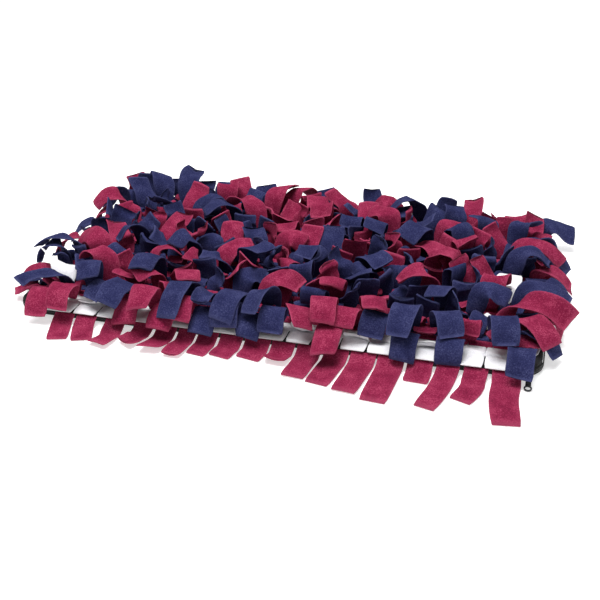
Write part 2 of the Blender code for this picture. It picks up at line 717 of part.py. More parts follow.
def lay_fringe(pile):
    """The strips of the fringe, side by side on the floor, and their backing."""
    fringe = []
    for root_x, tip_x, tip_y, swing, wide in FRINGE:
        route = fringe_route(root_x, tip_x, tip_y, swing)
        widths = np.full(FRINGE_SECTIONS, float(wide))
        if pile.touched_by(*ribbon(route, widths + 2 * GAP, 0, upright_root=False)):
            print("fringe strips touch at", root_x)
        fringe.append((route, widths, 0, FLEECE, False))
        pile.add("fringe", *ribbon(*fringe[-1]))
    y, z = FRINGE_BAR_Y, FRINGE_BAR_Z
    backing = box((-256, y - 2.3, z - 1.5), (288, y + 2.3, z + 1.5))
    pile.add("fringe", *backing)
    return backing, fringe


def lay_end_tails(pile, scatter):
    """The tails near the ends, each as its colour, its backing and its one strip."""
    groups = []
    for colour, root_x, root_y, *shape in END_TAILS:
        low = (root_x - 8, root_y - BAR_WIDTH / 2, BAR_BOTTOM)
        backing = box(low, (root_x + 8, root_y + BAR_WIDTH / 2, BAR_BOTTOM + BAR_HEIGHT))
        root = (root_x, root_y, ROOT_HEIGHT)
        found = place(pile, root, shape, None, scatter, KEY_SPREAD, root_width=NARROW_ROOT)
        if found:
            pile.add((root_x, root_y), *backing)
            groups.append((colour, backing, [found]))
        else:
            print("end tail not laid", root)
    return groups


def lay_tufts(pile, scatter):
    """The tufts over the front rim, each with its colour and backing."""
    groups = []
    for number, (colour, first_x, last_x, count, tip_y) in enumerate(FRONT_TUFTS, 1):
        low = (first_x - 8, TUFT_ROW_Y - BAR_WIDTH / 2, BAR_BOTTOM)
        backing = box(low, (last_x + 8, TUFT_ROW_Y + BAR_WIDTH / 2, BAR_BOTTOM + BAR_HEIGHT))
        strips = []
        for index, x in enumerate(np.linspace(first_x, last_x, count)):
            high = 12.0 * (index % 2)
            shape = (x, tip_y + scatter.uniform(-5, 5), 13 + high, 26 + high, 22, 0)
            root = (x, TUFT_ROW_Y, ROOT_HEIGHT)
            found = place(pile, root, shape, None, scatter, TUFT_SPREAD, root_width=NARROW_ROOT)
            if found:
                strips.append(found)
            else:
                print("front tuft", number, "strip not laid at", x)
        pile.add(f"tuft {number}", *backing)
        groups.append((colour, backing, strips))
    return groups


def lay_out(scatter):
    """Every node made of strips, as its name, colour, backing and strips."""
    pile = Pile()
    add_ground(pile)
    laid = [("white_tabs", WHITE, *lay_tabs(pile, scatter))]
    laid.append(("front_fringe", MAROON, *lay_fringe(pile)))
    for row in range(ROW_COUNT):
        for colour in (NAVY, MAROON):
            pile.add((row, colour), *bar(row, colour))
    for number, group in enumerate(lay_end_tails(pile, scatter), 1):
        laid.append((f"end_tail_{number:02d}", *group))
    for number, (colour, *group) in enumerate(lay_tufts(pile, scatter), 1):
        laid.append((f"front_tuft_{number}", colour, *group))
    for (row, colour), strips in lay_rows(pile, scatter).items():
        laid.append((f"{colour}_row_{row + 1:02d}", colour, bar(row, colour), strips))
    return laid


def main():
    clear_scene()
    mat = new_collection("snuffle_mat")
    helpers = new_collection("helpers")
    black = new_material("black_cloth", (0.012, 0.012, 0.014), 0.85)
    metal = new_material("black_metal", (0.02, 0.02, 0.022), 0.4)
    fleece = {
        WHITE: new_material("white_fleece", (0.82, 0.82, 0.83), 0.95),
        NAVY: new_material("navy_fleece", (0.025, 0.028, 0.09), 0.95),
        MAROON: new_material("maroon_fleece", (0.30, 0.02, 0.075), 0.95),
    }
    rounded_slab("base_pad", PAD_LENGTH, PAD_WIDTH, CORNER_RADIUS, 0, PAD_HEIGHT, mat, black)
    zip_ring(mat, black)
    zip_slider(mat, metal)
    zip_puller(mat, helpers, metal)
    base_cloth(mat, fleece[WHITE])
    for name, colour, backing, strips in lay_out(np.random.default_rng(SEED)):
        join_to_backing(name, backing, strips, mat, helpers, fleece[colour])


main()
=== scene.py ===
# %% [markdown]
# # A snuffle mat
# A snuffle mat is a flat padded mat with a white fleece sheet on top. Strips of
# navy and maroon fleece are knotted through the sheet in rows, two tails to a
# knot, and together they make a deep pile in which a dog looks for treats. A
# fringe of maroon strips hangs out from under the front edge, and a zip runs
# round the rim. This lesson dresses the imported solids: it works out where each
# strip lies, bends a surface along it, and gives the cloth its nap.

from itertools import product

import bpy
import numpy as np
from mathutils import Matrix, Vector
from mathutils.bvhtree import BVHTree


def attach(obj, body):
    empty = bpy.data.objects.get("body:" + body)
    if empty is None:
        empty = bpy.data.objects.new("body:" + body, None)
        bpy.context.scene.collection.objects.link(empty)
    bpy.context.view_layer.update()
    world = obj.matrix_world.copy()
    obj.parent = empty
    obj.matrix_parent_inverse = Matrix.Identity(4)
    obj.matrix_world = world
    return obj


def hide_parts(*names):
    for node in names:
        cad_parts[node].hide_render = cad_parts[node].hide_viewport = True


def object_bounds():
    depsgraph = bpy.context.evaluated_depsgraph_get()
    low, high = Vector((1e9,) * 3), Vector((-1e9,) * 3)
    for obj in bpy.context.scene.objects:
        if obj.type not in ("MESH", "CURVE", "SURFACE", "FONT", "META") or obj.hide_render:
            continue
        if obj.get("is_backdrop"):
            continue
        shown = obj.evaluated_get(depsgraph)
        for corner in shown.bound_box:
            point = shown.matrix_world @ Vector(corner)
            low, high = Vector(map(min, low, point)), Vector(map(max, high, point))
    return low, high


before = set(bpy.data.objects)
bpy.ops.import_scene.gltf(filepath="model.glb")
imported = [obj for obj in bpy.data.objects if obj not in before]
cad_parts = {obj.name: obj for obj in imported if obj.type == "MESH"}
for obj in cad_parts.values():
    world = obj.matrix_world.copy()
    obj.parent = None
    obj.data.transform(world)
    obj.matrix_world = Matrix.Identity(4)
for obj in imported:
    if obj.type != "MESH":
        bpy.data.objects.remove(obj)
cad_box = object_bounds()
MM = 0.001
print("solids:", len(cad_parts))

# %% [markdown]
# ## The camera
# The mat is seen from a little to the right of its front, from 27.5 degrees above
# the floor. The camera could be placed by its coordinates, but its angles and its
# distance to the point it looks at say more, and each can be changed on its own.

# %% Camera
AZIMUTH, ELEVATION = 14.95, 27.51
DISTANCE = 1.210
LOOK_AT = Vector((0.01417, -0.06882, 0.0))
LENS = 58.83


def add_camera(azimuth, elevation, distance, target, lens):
    """A camera on a ball round the target, its up direction kept vertical. It stands
    at target + back * distance, where back points from the target to the camera."""
    a, e = np.radians(azimuth), np.radians(elevation)
    back = Vector((np.sin(a) * np.cos(e), -np.cos(a) * np.cos(e), np.sin(e)))
    right = Vector((np.cos(a), np.sin(a), 0.0))
    up = back.cross(right)
    camera = bpy.data.objects.new("camera", bpy.data.cameras.new("camera"))
    camera.data.lens = lens
    turn = Matrix((right, up, back)).transposed()
    camera.matrix_world = Matrix.Translation(target + back * distance) @ turn.to_4x4()
    bpy.context.scene.collection.objects.link(camera)
    bpy.context.scene.camera = camera


add_camera(AZIMUTH, ELEVATION, DISTANCE, LOOK_AT, LENS)
print("camera at", [round(c, 3) for c in bpy.context.scene.camera.location])

# %% [markdown]
# ## Nodes
# Every finish is a few nodes on a Principled shader, and the light round the mat is
# made with nodes too. Colours are written as sRGB hex, as a dye card gives them, and
# one function turns them to the linear values that the shader wants. One more
# function adds a node with its settings and links.

# %% Colours, nodes and materials


def linear(code):
    """An sRGB hex colour as linear red, green, blue and alpha: a channel's share of
    255, divided by 12.92 where it is dark, and else raised to 2.4 after an offset."""
    channel = np.array([int(code[i : i + 2], 16) for i in (1, 3, 5)]) / 255.0
    low = channel / 12.92
    high = ((channel + 0.055) / 1.055) ** 2.4
    return (*np.where(channel <= 0.04045, low, high), 1.0)


def add_node(owner, kind, settings=(), links=()):
    """A node of a material or world, its settings by attribute or input name, and
    its inputs, by name or number, linked to other nodes' outputs."""
    tree = owner.node_tree
    node = tree.nodes.new(kind)
    for name, value in dict(settings).items():
        if hasattr(node, name):
            setattr(node, name, value)
        else:
            node.inputs[name].default_value = value
    for name, (source, output) in dict(links).items():
        tree.links.new(source.outputs[output], node.inputs[name])
    return node


def new_material(name, colour, roughness, **sockets):
    """A material with its Principled shader's constant sockets set."""
    material = bpy.data.materials.new(name)
    material.use_nodes = True
    shader = material.node_tree.nodes["Principled BSDF"]
    shader.inputs["Base Color"].default_value = linear(colour)
    shader.inputs["Roughness"].default_value = roughness
    for socket, value in sockets.items():
        shader.inputs[socket.replace("_", " ")].default_value = value
    return material


def plug(material, source, output, socket):
    """Link a node's output to a socket of the material's Principled shader."""
    shader = material.node_tree.nodes["Principled BSDF"]
    material.node_tree.links.new(source.outputs[output], shader.inputs[socket])


print("middle grey as linear:", round(float(linear("#808080")[0]), 3))

# %% [markdown]
# ## Floor and light
# The mat lies on a sweep of matte white paper in a light tent, which keeps shadows
# faint. One world of even light would do that too, but then the furrows between the
# strips would be as bright as their crowns. So the tent is bright at the horizon and
# dim overhead, and three broad square lamps light the mat from above. The largest,
# high on the left, gives the strips their lit and shaded sides. The paper glows a
# little, as thin paper does with light behind it, so that it comes out white.

# %% Floor and lamps
HORIZON_STRENGTH = 0.95
OVERHEAD_STRENGTH = 0.20
TENT_RISE = 0.22
WHITE_LIGHT = "#ffffff"
PAPER = "#e7e7e7"
FLOOR_GLOW = 0.52
FLOOR_HALF = 12.0
FLOOR_HEIGHT = -0.0004
# name, place, side of the square, and power in watts
LAMPS = (
    ("key", (-0.25, -0.25, 2.2), 1.5, 71.0),
    ("fill", (1.5, -1.6, 1.0), 2.0, 8.0),
    ("back", (0.4, 1.5, 1.9), 1.5, 12.0),
)


def add_lamp(name, place, size, power):
    """A square lamp whose -Z axis points from its place to the middle of the mat."""
    lamp = bpy.data.lights.new(name, "AREA")
    lamp.size = size
    lamp.energy = power
    obj = bpy.data.objects.new(name, lamp)
    obj.location = place
    obj.rotation_euler = (-Vector(place)).to_track_quat("-Z", "Y").to_euler()
    bpy.context.scene.collection.objects.link(obj)


def add_floor(half, height):
    """One square of floor, a hair under the mat so that the two don't share a plane."""
    mesh = bpy.data.meshes.new("floor")
    corners = [(x * half, y * half, height) for x, y in ((-1, -1), (1, -1), (1, 1), (-1, 1))]
    mesh.from_pydata(corners, [], [(0, 1, 2, 3)])
    glow = {"Emission_Color": linear(WHITE_LIGHT), "Emission_Strength": FLOOR_GLOW}
    mesh.materials.append(new_material("white_paper_sweep", PAPER, 0.9, **glow))
    obj = bpy.data.objects.new("floor", mesh)
    bpy.context.scene.collection.objects.link(obj)
    obj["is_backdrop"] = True


def light_tent(low, high, rise):
    """A white world, of strength low at the horizon and high from rise above it."""
    world = bpy.data.worlds.new("tent")
    world.use_nodes = True
    direction = {"Vector": (add_node(world, "ShaderNodeTexCoord"), "Generated")}
    split = add_node(world, "ShaderNodeSeparateXYZ", {}, direction)
    ends = {"From Max": rise, "To Min": low, "To Max": high}
    fade = add_node(world, "ShaderNodeMapRange", ends, {"Value": (split, "Z")})
    sky = world.node_tree.nodes["Background"].inputs
    world.node_tree.links.new(fade.outputs["Result"], sky["Strength"])
    sky["Color"].default_value = linear(WHITE_LIGHT)
    return world


add_floor(FLOOR_HALF, FLOOR_HEIGHT)
for lamp in LAMPS:
    add_lamp(*lamp)
bpy.context.scene.world = light_tent(HORIZON_STRENGTH, OVERHEAD_STRENGTH, TENT_RISE)
bpy.context.scene.view_settings.view_transform = "Standard"

# %% [markdown]
# ## Polar fleece
# Fleece is a polyester knit whose face is brushed up and sheared into a dense nap.
# The nap clumps into pebbles 1 to 2 mm across, scatters light in every direction,
# so there is no highlight, and its fibre ends catch light at grazing angles, which
# sheen gives. The pebbles are noise in object space. Their colour holds painted
# shade and light: the hollows between them are painted darker and their tops lighter.
# Wider noise gives the faint patches that brushing leaves. The cut edges, marked by
# an attribute of the mesh, are painted a little lighter, a painted highlight of the
# fibre ends that stand out there and catch the light.

# %% Fleece
PEBBLE = 0.0014
PATCH = 0.016
PATCH_DEPTH = 0.14
# the stretch of each noise that is used, and how far it moves the tone
PEBBLE_RANGE = {"From Min": 0.12, "From Max": 0.88}
PATCH_RANGE = {"From Min": 0.3, "From Max": 0.7, "To Min": -PATCH_DEPTH, "To Max": PATCH_DEPTH}
# how far the cut edges are blended towards the lit tone: a painted highlight
EDGE_HIGHLIGHT = 0.55
NAP_STRENGTH = 0.8
NAP_DEPTH = 0.0008
# a mix node's colour sockets, which share their names with its other sockets
MIX_A, MIX_B, MIX_RESULT = 6, 7, 2


def fleece(name, lit_tone, plain, deep, sheen):
    """Brushed polar fleece in one dye: plain, with painted shade (the deep tone) in the
    hollows and painted light (the lit tone) on the pebbles' tops. The tone is the
    pebbles' noise plus the patches', and the cut edges are blended with the lit end by
    their share, a painted highlight."""
    material = new_material(
        name, plain, 0.95, Sheen_Weight=sheen, Sheen_Roughness=0.5, Specular_IOR_Level=0.08
    )
    shader = material.node_tree.nodes["Principled BSDF"]
    shader.inputs["Sheen Tint"].default_value = linear(lit_tone)
    position = {"Vector": (add_node(material, "ShaderNodeTexCoord"), "Object")}
    grain = {"Scale": 1 / PEBBLE, "Detail": 2.0, "Roughness": 0.6}
    pebbles = add_node(material, "ShaderNodeTexNoise", grain, position)
    grain = {"Scale": 1 / PATCH, "Detail": 2.0, "Roughness": 0.5}
    patches = add_node(material, "ShaderNodeTexNoise", grain, position)
    fine = add_node(material, "ShaderNodeMapRange", PEBBLE_RANGE, {"Value": (pebbles, "Fac")})
    broad = add_node(material, "ShaderNodeMapRange", PATCH_RANGE, {"Value": (patches, "Fac")})
    add = {"operation": "ADD", "use_clamp": True}
    both = add_node(material, "ShaderNodeMath", add, {0: (fine, 0), 1: (broad, 0)})
    # the ramp paints shade into the pebbles' hollows and light onto their tops
    tone = add_node(material, "ShaderNodeValToRGB", {}, {"Fac": (both, "Value")})
    ramp = tone.color_ramp
    ramp.elements[0].color = linear(deep)
    ramp.elements[1].color = linear(lit_tone)
    ramp.elements.new(0.5).color = linear(plain)
    # the cut edges are painted lighter, a painted highlight of fibre ends catching the light
    edge = add_node(material, "ShaderNodeAttribute", {"attribute_name": "cut_edge"})
    share = add_node(material, "ShaderNodeMath", {"operation": "MULTIPLY"}, {0: (edge, "Fac")})
    share.inputs[1].default_value = EDGE_HIGHLIGHT
    colours = {"data_type": "RGBA", "clamp_factor": True}
    edge_highlight = add_node(material, "ShaderNodeMix", colours, {0: (share, 0), MIX_A: (tone, "Color")})
    edge_highlight.inputs[MIX_B].default_value = linear(lit_tone)
    plug(material, edge_highlight, MIX_RESULT, "Base Color")
    raised = {"Strength": NAP_STRENGTH, "Distance": NAP_DEPTH}
    bump = add_node(material, "ShaderNodeBump", raised, {"Height": (pebbles, "Fac")})
    plug(material, bump, "Normal", "Normal")
    return material


# each dye as its lit tone (painted light, also the sheen tint), its plain tone, and its deep tone
# (painted shade)
navy_fleece = fleece("navy_polar_fleece", "#484b72", "#26294e", "#131530", 0.12)
maroon_fleece = fleece("maroon_polar_fleece", "#b04a68", "#801f3f", "#4e0e25", 0.12)
white_fleece = fleece("white_polar_fleece", "#f4f4f6", "#e9e8ec", "#d2d1d8", 0.10)
PAINT = {"navy": navy_fleece, "maroon": maroon_fleece, "white": white_fleece}
print("fleece:", ", ".join(m.name for m in PAINT.values()))

# %% [markdown]
# ## Where each strip lies
# The strips could be laid by a cloth simulation, but its result can't be foreseen,
# and hundreds of strips that touch take hours. The solids were laid out by a rule
# instead, and the lesson follows the same rule, so that every surface lands on its
# solid. Tables hold the strips that give the pile its shape, one row for each. The
# other slots are filled by chance, from a fixed seed: a strip is tried, nudged and
# lifted until it clears every strip laid before it. All lengths are in millimetres.

# %% Sizes of the base and of the fleece
PAD_LENGTH = 620.0
PAD_WIDTH = 370.0
PAD_HEIGHT = 12.0
CORNER_RADIUS = 30.0
CORNER_STEPS = 6
# the least space between parts
GAP = 0.3
# the thickness of fleece, and a strip's width, which is less where it is knotted
FLEECE = 2.0
STRIP_WIDTH = 30.0
ROOT_WIDTH = 18.0
NARROW_ROOT = 9.0
SECTIONS = 5
# the white sheet stands out past the front of the pad
CLOTH_SIDE_INSET = 4.0
CLOTH_FRONT_LIP = 8.0
CLOTH_BOTTOM = PAD_HEIGHT + GAP
CLOTH_TOP = CLOTH_BOTTOM + FLEECE
FRONT_EDGE = -PAD_WIDTH / 2 - CLOTH_FRONT_LIP

NAVY, MAROON, WHITE = "navy", "maroon", "white"
print("mat:", PAD_LENGTH, "x", PAD_WIDTH, "mm, strips:", STRIP_WIDTH, "mm wide")

# %% [markdown]
# ### One strip
# A strip leaves its knot straight up, arches over and comes down at its tip. A bent
# plane with modifiers could be posed like that, but a curve of four controls does it
# with five numbers. The strip's flat sides face along the curve, and it rolls about
# its own length towards the tip.

# %% The route of a strip
# where the inner controls stand, and where a strip lies level and has its full width,
# as shares of its length
LEAVE_SHARE = 0.10
ARRIVE_SHARE = 0.30
LEVEL_SHARE = 0.5
NECK_SHARE = 0.25


def along(root, tip, rise, droop, count=SECTIONS):
    """Points of a cubic curve that leaves the root upwards by rise, and comes
    to the tip from droop above it: the root, two inner controls and the tip, in
    shares of s^3, 3 s^2 t, 3 s t^2 and t^3, where s = 1 - t."""
    root, tip = np.array(root, float), np.array(tip, float)
    level = (tip - root) * (1, 1, 0)
    leave = root + level * LEAVE_SHARE + (0, 0, rise)
    arrive = tip - level * ARRIVE_SHARE + (0, 0, droop)
    t = np.linspace(0.0, 1.0, count)[:, None]
    s = 1.0 - t
    return s**3 * root + 3 * s * s * t * leave + 3 * s * t * t * arrive + t**3 * tip


def directions(route, roll, upright_root=True):
    """Unit vectors across a strip and out of its face, at each point of its route.
    The width starts along X, turns to lie level across the route, and rolls about
    the route by roll degrees at the tip: cos(angle) * side + sin(angle) * normal."""
    count = len(route)
    t = np.linspace(0.0, 1.0, count)
    tangent = np.gradient(route, axis=0)
    if upright_root:
        tangent[0] = (0.0, 0.0, 1.0)
    tangent /= np.linalg.norm(tangent, axis=1)[:, None]
    level = route[-1] - route[0]
    across = np.array([-level[1], level[0], 0.0])
    across *= -1.0 if across[0] < 0 else 1.0
    across /= max(np.linalg.norm(across), 1e-6)
    turn = np.clip(t / LEVEL_SHARE, 0.0, 1.0)[:, None]
    side = (1 - turn) * np.array([1.0, 0.0, 0.0]) + turn * across
    side -= (side * tangent).sum(1)[:, None] * tangent
    side /= np.linalg.norm(side, axis=1)[:, None]
    normal = np.cross(tangent, side)
    angle = np.radians(roll) * t * t * (3 - 2 * t)
    wide = np.cos(angle)[:, None] * side + np.sin(angle)[:, None] * normal
    return wide, np.cross(tangent, wide)


def strip_widths(count, root=ROOT_WIDTH, full=STRIP_WIDTH):
    """Narrow where the strip is knotted, full from a quarter of its length on."""
    t = np.linspace(0.0, 1.0, count)
    return min(root, full) + max(full - root, 0.0) * np.clip(t / NECK_SHARE, 0.0, 1.0)


sample = along((0, 0, 0), (40, 0, 20), 40, 10)
print("top of a sample arch:", round(float(sample[:, 2].max()), 1), "mm")

# %% [markdown]
# ### A strip's faces
# To ask whether two strips cross, each is a flat ribbon with four corners a section,
# as its solid has. Fleece doesn't fold back as sharply as a curve can, and never runs
# through itself, so ribbons that do either are found here and turned down.

# %% Its faces, as the solids have them
# the least that a corner line moves on along the route, as a share of the span
LEAST_PROGRESS = 0.12
# the faces of a ribbon's two ends and of its first span, which come first
ROOT_FACES = 12


def ribbon(route, widths, roll, thick=FLEECE, upright_root=True):
    """Vertices and faces of a flat strip lofted along a route. The corners of each
    section are route +- across * width / 2 +- normal * thick / 2."""
    wide, normal = directions(route, roll, upright_root)
    half = np.asarray(widths)[:, None] / 2
    corners = [
        route + wide * half * a + normal * (thick / 2) * b
        for a, b in ((-1, -1), (1, -1), (1, 1), (-1, 1))
    ]
    vertices = np.stack(corners, axis=1).reshape(-1, 3)
    last = 4 * (len(route) - 1)
    faces = [(3, 2, 1), (3, 1, 0), (last, last + 1, last + 2), (last, last + 2, last + 3)]
    # both broad sides are split along the same diagonal, so they stay apart in a twist
    sides = ((0, 1, 5, 4), (1, 2, 6, 5), (3, 7, 6, 2), (3, 0, 4, 7))
    for a in range(0, last, 4):
        for near, beside, opposite, ahead in sides:
            faces.append((a + near, a + beside, a + opposite))
            faces.append((a + near, a + opposite, a + ahead))
    return vertices, faces


def creased(vertices):
    """Whether a corner line of a ribbon runs back on itself in any span."""
    sections = vertices.reshape(-1, 4, 3)
    middles = sections.mean(1)
    forward = np.diff(middles, axis=0)[:, None]
    progress = (np.diff(sections, axis=0) * forward).sum(2) / (forward**2).sum(2)
    return progress.min() < LEAST_PROGRESS


def crosses_itself(vertices, faces):
    """Whether two faces of a ribbon that share no corner cross."""
    tree = BVHTree.FromPolygons(vertices.tolist(), faces)
    return any(set(faces[a]).isdisjoint(faces[b]) for a, b in tree.overlap(tree))


print("faces of one ribbon:", len(ribbon(sample, strip_widths(SECTIONS), 0.0)[1]))

# %% [markdown]
# ### Keeping strips apart
# Cloth lies on cloth and never passes through it. Comparing every pair of faces
# would take minutes, so each placed strip is kept as a tree of its faces, which
# answers quickly whether a new one would cross it.

# %% The pile


class Pile:
    """The shapes placed so far, kept as trees of their faces for clearance tests."""

    def __init__(self):
        self.owners, self.trees = [], []
        self.lows, self.highs = np.empty((0, 3)), np.empty((0, 3))

    def add(self, owner, vertices, faces):
        """Keep a placed shape under its owner's name."""
        points = np.asarray(vertices, float)
        self.owners.append(owner)
        self.trees.append(BVHTree.FromPolygons(points.tolist(), faces))
        self.lows = np.vstack([self.lows, points.min(0)])
        self.highs = np.vstack([self.highs, points.max(0)])

    def touched_by(self, vertices, faces, ignore=None):
        """Whether a shape crosses any placed one but those of the owner to ignore."""
        points = np.asarray(vertices, float)
        apart = (self.lows > points.max(0)) | (self.highs < points.min(0))
        near = np.flatnonzero(~apart.any(1))
        tree = BVHTree.FromPolygons(points.tolist(), faces)
        return any(self.owners[i] != ignore and self.trees[i].overlap(tree) for i in near)


trial_pile = Pile()
trial_pile.add("sample", *ribbon(sample, strip_widths(SECTIONS), 0.0))
crossing = ribbon(sample, strip_widths(SECTIONS), 90.0)
print("a rolled copy in the same place crosses it:", trial_pile.touched_by(*crossing))

# %% [markdown]
# ### What the strips lie on
# The base, its zip, and the slider and puller are in the pile first, as plain slabs
# and boxes, so that every strip stays clear of them.

# %% The ground of the pile
ZIP_THICK = 1.5
# where the slider and the puller meet, and the room that strips leave them, from there
PULLER_START = (297.6, -187.3, 5.8)
SLIDER_ROOM = ((-6.0, -2.0, -4.8), (6.0, 8.0, 5.4))
PULLER_ROOM = ((-5.0, -22.4, -5.8), (5.0, 0.0, 1.0))


def rounded_outline(length, width, radius, steps=CORNER_STEPS):
    """Corner arcs of an oblong, anticlockwise, centred on the origin. Each point is
    its corner's centre plus radius * (cos angle, sin angle)."""
    side = np.array([(1, 1), (-1, 1), (-1, -1), (1, -1)])[:, None]
    angle = np.radians(90.0 * (np.arange(4)[:, None] + np.arange(steps + 1) / steps))
    centre = side * (length / 2 - radius, width / 2 - radius)
    return (centre + radius * np.stack([np.cos(angle), np.sin(angle)], -1)).reshape(-1, 2)


def slab(outline, low, high):
    """Vertices and faces of an outline pulled up from low to high."""
    count = len(outline)
    vertices = [(x, y, z) for z in (low, high) for x, y in outline]
    faces = [tuple(reversed(range(count))), tuple(range(count, 2 * count))]
    faces += [(i, (i + 1) % count, count + (i + 1) % count, count + i) for i in range(count)]
    return vertices, faces


def box(low, high):
    """Vertices and faces of a box between two corners."""
    outline = [(low[0], low[1]), (high[0], low[1]), (high[0], high[1]), (low[0], high[1])]
    return slab(outline, low[2], high[2])


def cloth_outline():
    """The outline of the white sheet, which stands out past the front of the pad."""
    length = PAD_LENGTH - 2 * CLOTH_SIDE_INSET
    back = PAD_WIDTH / 2 - CLOTH_SIDE_INSET
    middle = (0.0, (back + FRONT_EDGE) / 2)
    return rounded_outline(length, back - FRONT_EDGE, CORNER_RADIUS) + middle


def add_ground(pile):
    """Keep the base, its zip, slider and puller, and the cloth in the pile."""
    zip_side = 2 * (GAP + ZIP_THICK + GAP)
    side = rounded_outline(PAD_LENGTH + zip_side, PAD_WIDTH + zip_side, CORNER_RADIUS + 2)
    pile.add("pad", *slab(side, 0, PAD_HEIGHT))
    pile.add("cloth", *slab(cloth_outline(), CLOTH_BOTTOM, CLOTH_TOP))
    for room in (SLIDER_ROOM, PULLER_ROOM):
        pile.add("zip", *box(*np.add(room, PULLER_START)))


print("corners of the sheet's outline:", len(cloth_outline()))

# %% [markdown]
# ### Rows and slots
# The knots sit in rows across the mat, and each row is set half a slot over from
# the next, as bricks are. Navy and maroon knots of a row lie a few millimetres
# apart. Under them runs a narrow backing, which every root is fused in.

# %% Rows and slots
ROW_COUNT = 13
ROW_FRONT = -142.0
ROW_PITCH = 25.0
SLOT_COUNT = 19
SLOT_PITCH = 32.4
# the backing of a row's knots of one colour
BAR_LENGTH = 598.0
BAR_WIDTH = 5.0
BAR_HEIGHT = 3.0
BAR_OFFSET = 4.0
BAR_BOTTOM = CLOTH_TOP + GAP
ROOT_HEIGHT = BAR_BOTTOM + 1.5


def row_y(row):
    """Middle of a row of knots."""
    return ROW_FRONT + ROW_PITCH * row


def row_name(row, colour):
    """The node of a row's strips of one colour."""
    return f"{colour}_row_{row + 1:02d}"


def bar_y(row, colour):
    """Middle of the narrow strip that a row's knots of one colour are fused in."""
    return row_y(row) + (BAR_OFFSET if colour == NAVY else -BAR_OFFSET)


def slots_in(row):
    """How many slots a row has: every other row has one less, and lies between."""
    return SLOT_COUNT - row % 2


def slot_x(row, slot):
    """Where a slot lies along its row."""
    return SLOT_PITCH * (slot - (slots_in(row) - 1) / 2)


def bar(left, right, y):
    """Vertices and faces of the narrow backing that roots are fused in."""
    high = (right, y + BAR_WIDTH / 2, BAR_BOTTOM + BAR_HEIGHT)
    return box((left, y - BAR_WIDTH / 2, BAR_BOTTOM), high)


print("rows:", ROW_COUNT, "slots:", sum(slots_in(row) for row in range(ROW_COUNT)))

# %% [markdown]
# ### A try at a place
# A strip has a shape that it should have, but others may be in the way. Pushing
# them aside would disturb what is laid already, so the new strip gives way: each
# try strays further from its wanted shape.

# %% A try at a place
# clearance round every strip, the tries that it gets, and how it is lifted
CLEARANCE = 0.35
TRIES = 60
LIFT_STEP = 3.5
LIFT_LEVELS = 5
LIFT_RISE = 1.3
HIGHEST_TIP = 56.0
HIGHEST_BEND = 64.0
MOST_RISE = 60.0
# how far tip_x, tip_y, tip_z, rise, droop and roll may stray from a key shape
KEY_SPREAD = np.array([22.0, 22.0, 12.0, 20.0, 20.0, 60.0])


def place(pile, root, shape, backing, scatter, spread, wide=STRIP_WIDTH, root_width=ROOT_WIDTH):
    """Lay a strip by its wanted shape, or the nearest one that is clear: each
    try strays a little further, and every few tries it is lifted over its
    neighbours. shape is tip_x, tip_y, tip_z, rise, droop, roll. The strip comes
    back in a list, as its route, widths and roll; the list is empty if none is clear."""
    wanted = np.array(shape, float)
    widths = strip_widths(SECTIONS, root_width, wide)
    for attempt in range(TRIES):
        change = scatter.uniform(-1, 1, 6) * spread * attempt / TRIES
        lift = LIFT_STEP * (attempt % LIFT_LEVELS)
        lifted = wanted + change + (0, 0, lift, LIFT_RISE * lift, 0, 0)
        tip_x, tip_y, tip_z, rise, droop, roll = lifted
        tip_z = min(tip_z, HIGHEST_TIP)
        rise = min(rise, MOST_RISE)
        route = along(root, (tip_x, tip_y, tip_z), rise, droop)
        trial, faces = ribbon(route, widths + 2 * CLEARANCE, roll, FLEECE + 2 * CLEARANCE)
        if not CLEARANCE < trial[:, 2].min() < trial[:, 2].max() < HIGHEST_BEND:
            continue
        # past its first span a strip keeps clear of its own backing too
        if pile.touched_by(trial, faces, backing) or pile.touched_by(trial, faces[ROOT_FACES:]):
            continue
        if creased(trial) or crosses_itself(trial, faces):
            continue
        pile.add("strip", *ribbon(route, widths, roll))
        return [(route, widths, roll)]
    return []


print("tries at most:", TRIES)

# %% [markdown]
# ### White tabs and the fringe
# Along the front rim lie white tabs, cut from the edge of a second sheet of fleece.
# Under them, maroon strips come out from under the front edge and lie on the floor.
# Both lie nearly flat, so each is a route of a few points, and not the arch of the
# other strips.

# %% The tabs on the front rim
TAB_MIDDLES = (-216.0, -186.0, 44.0, 106.0, 136.5, 188.0, 234.0, 264.0)
TAB_WIDTH = 29.0
TAB_BAR_HALF = 280.0
TAB_BACK = -156.0
TAB_FRONT = FRONT_EDGE + 19.0
TAB_BAR_DEPTH = 3.0


def lay_tabs(pile, scatter):
    """The white tabs on the front rim."""
    tabs = []
    for x in TAB_MIDDLES:
        z = CLOTH_TOP + GAP + FLEECE / 2
        lift = scatter.uniform(0.0, 2.5)
        middle = (TAB_BACK + TAB_FRONT) / 2
        route = np.array([(x, TAB_BACK + 1, z), (x, middle, z), (x, TAB_FRONT, z + lift)])
        tabs.append((route, np.full(3, TAB_WIDTH), 0, FLEECE, False))
        pile.add("tab", *ribbon(*tabs[-1]))
    high = (TAB_BAR_HALF, TAB_BACK + TAB_BAR_DEPTH, BAR_BOTTOM + BAR_HEIGHT)
    pile.add("tab", *box((-TAB_BAR_HALF, TAB_BACK, BAR_BOTTOM), high))
    return tabs


print("white tabs:", len(TAB_MIDDLES))

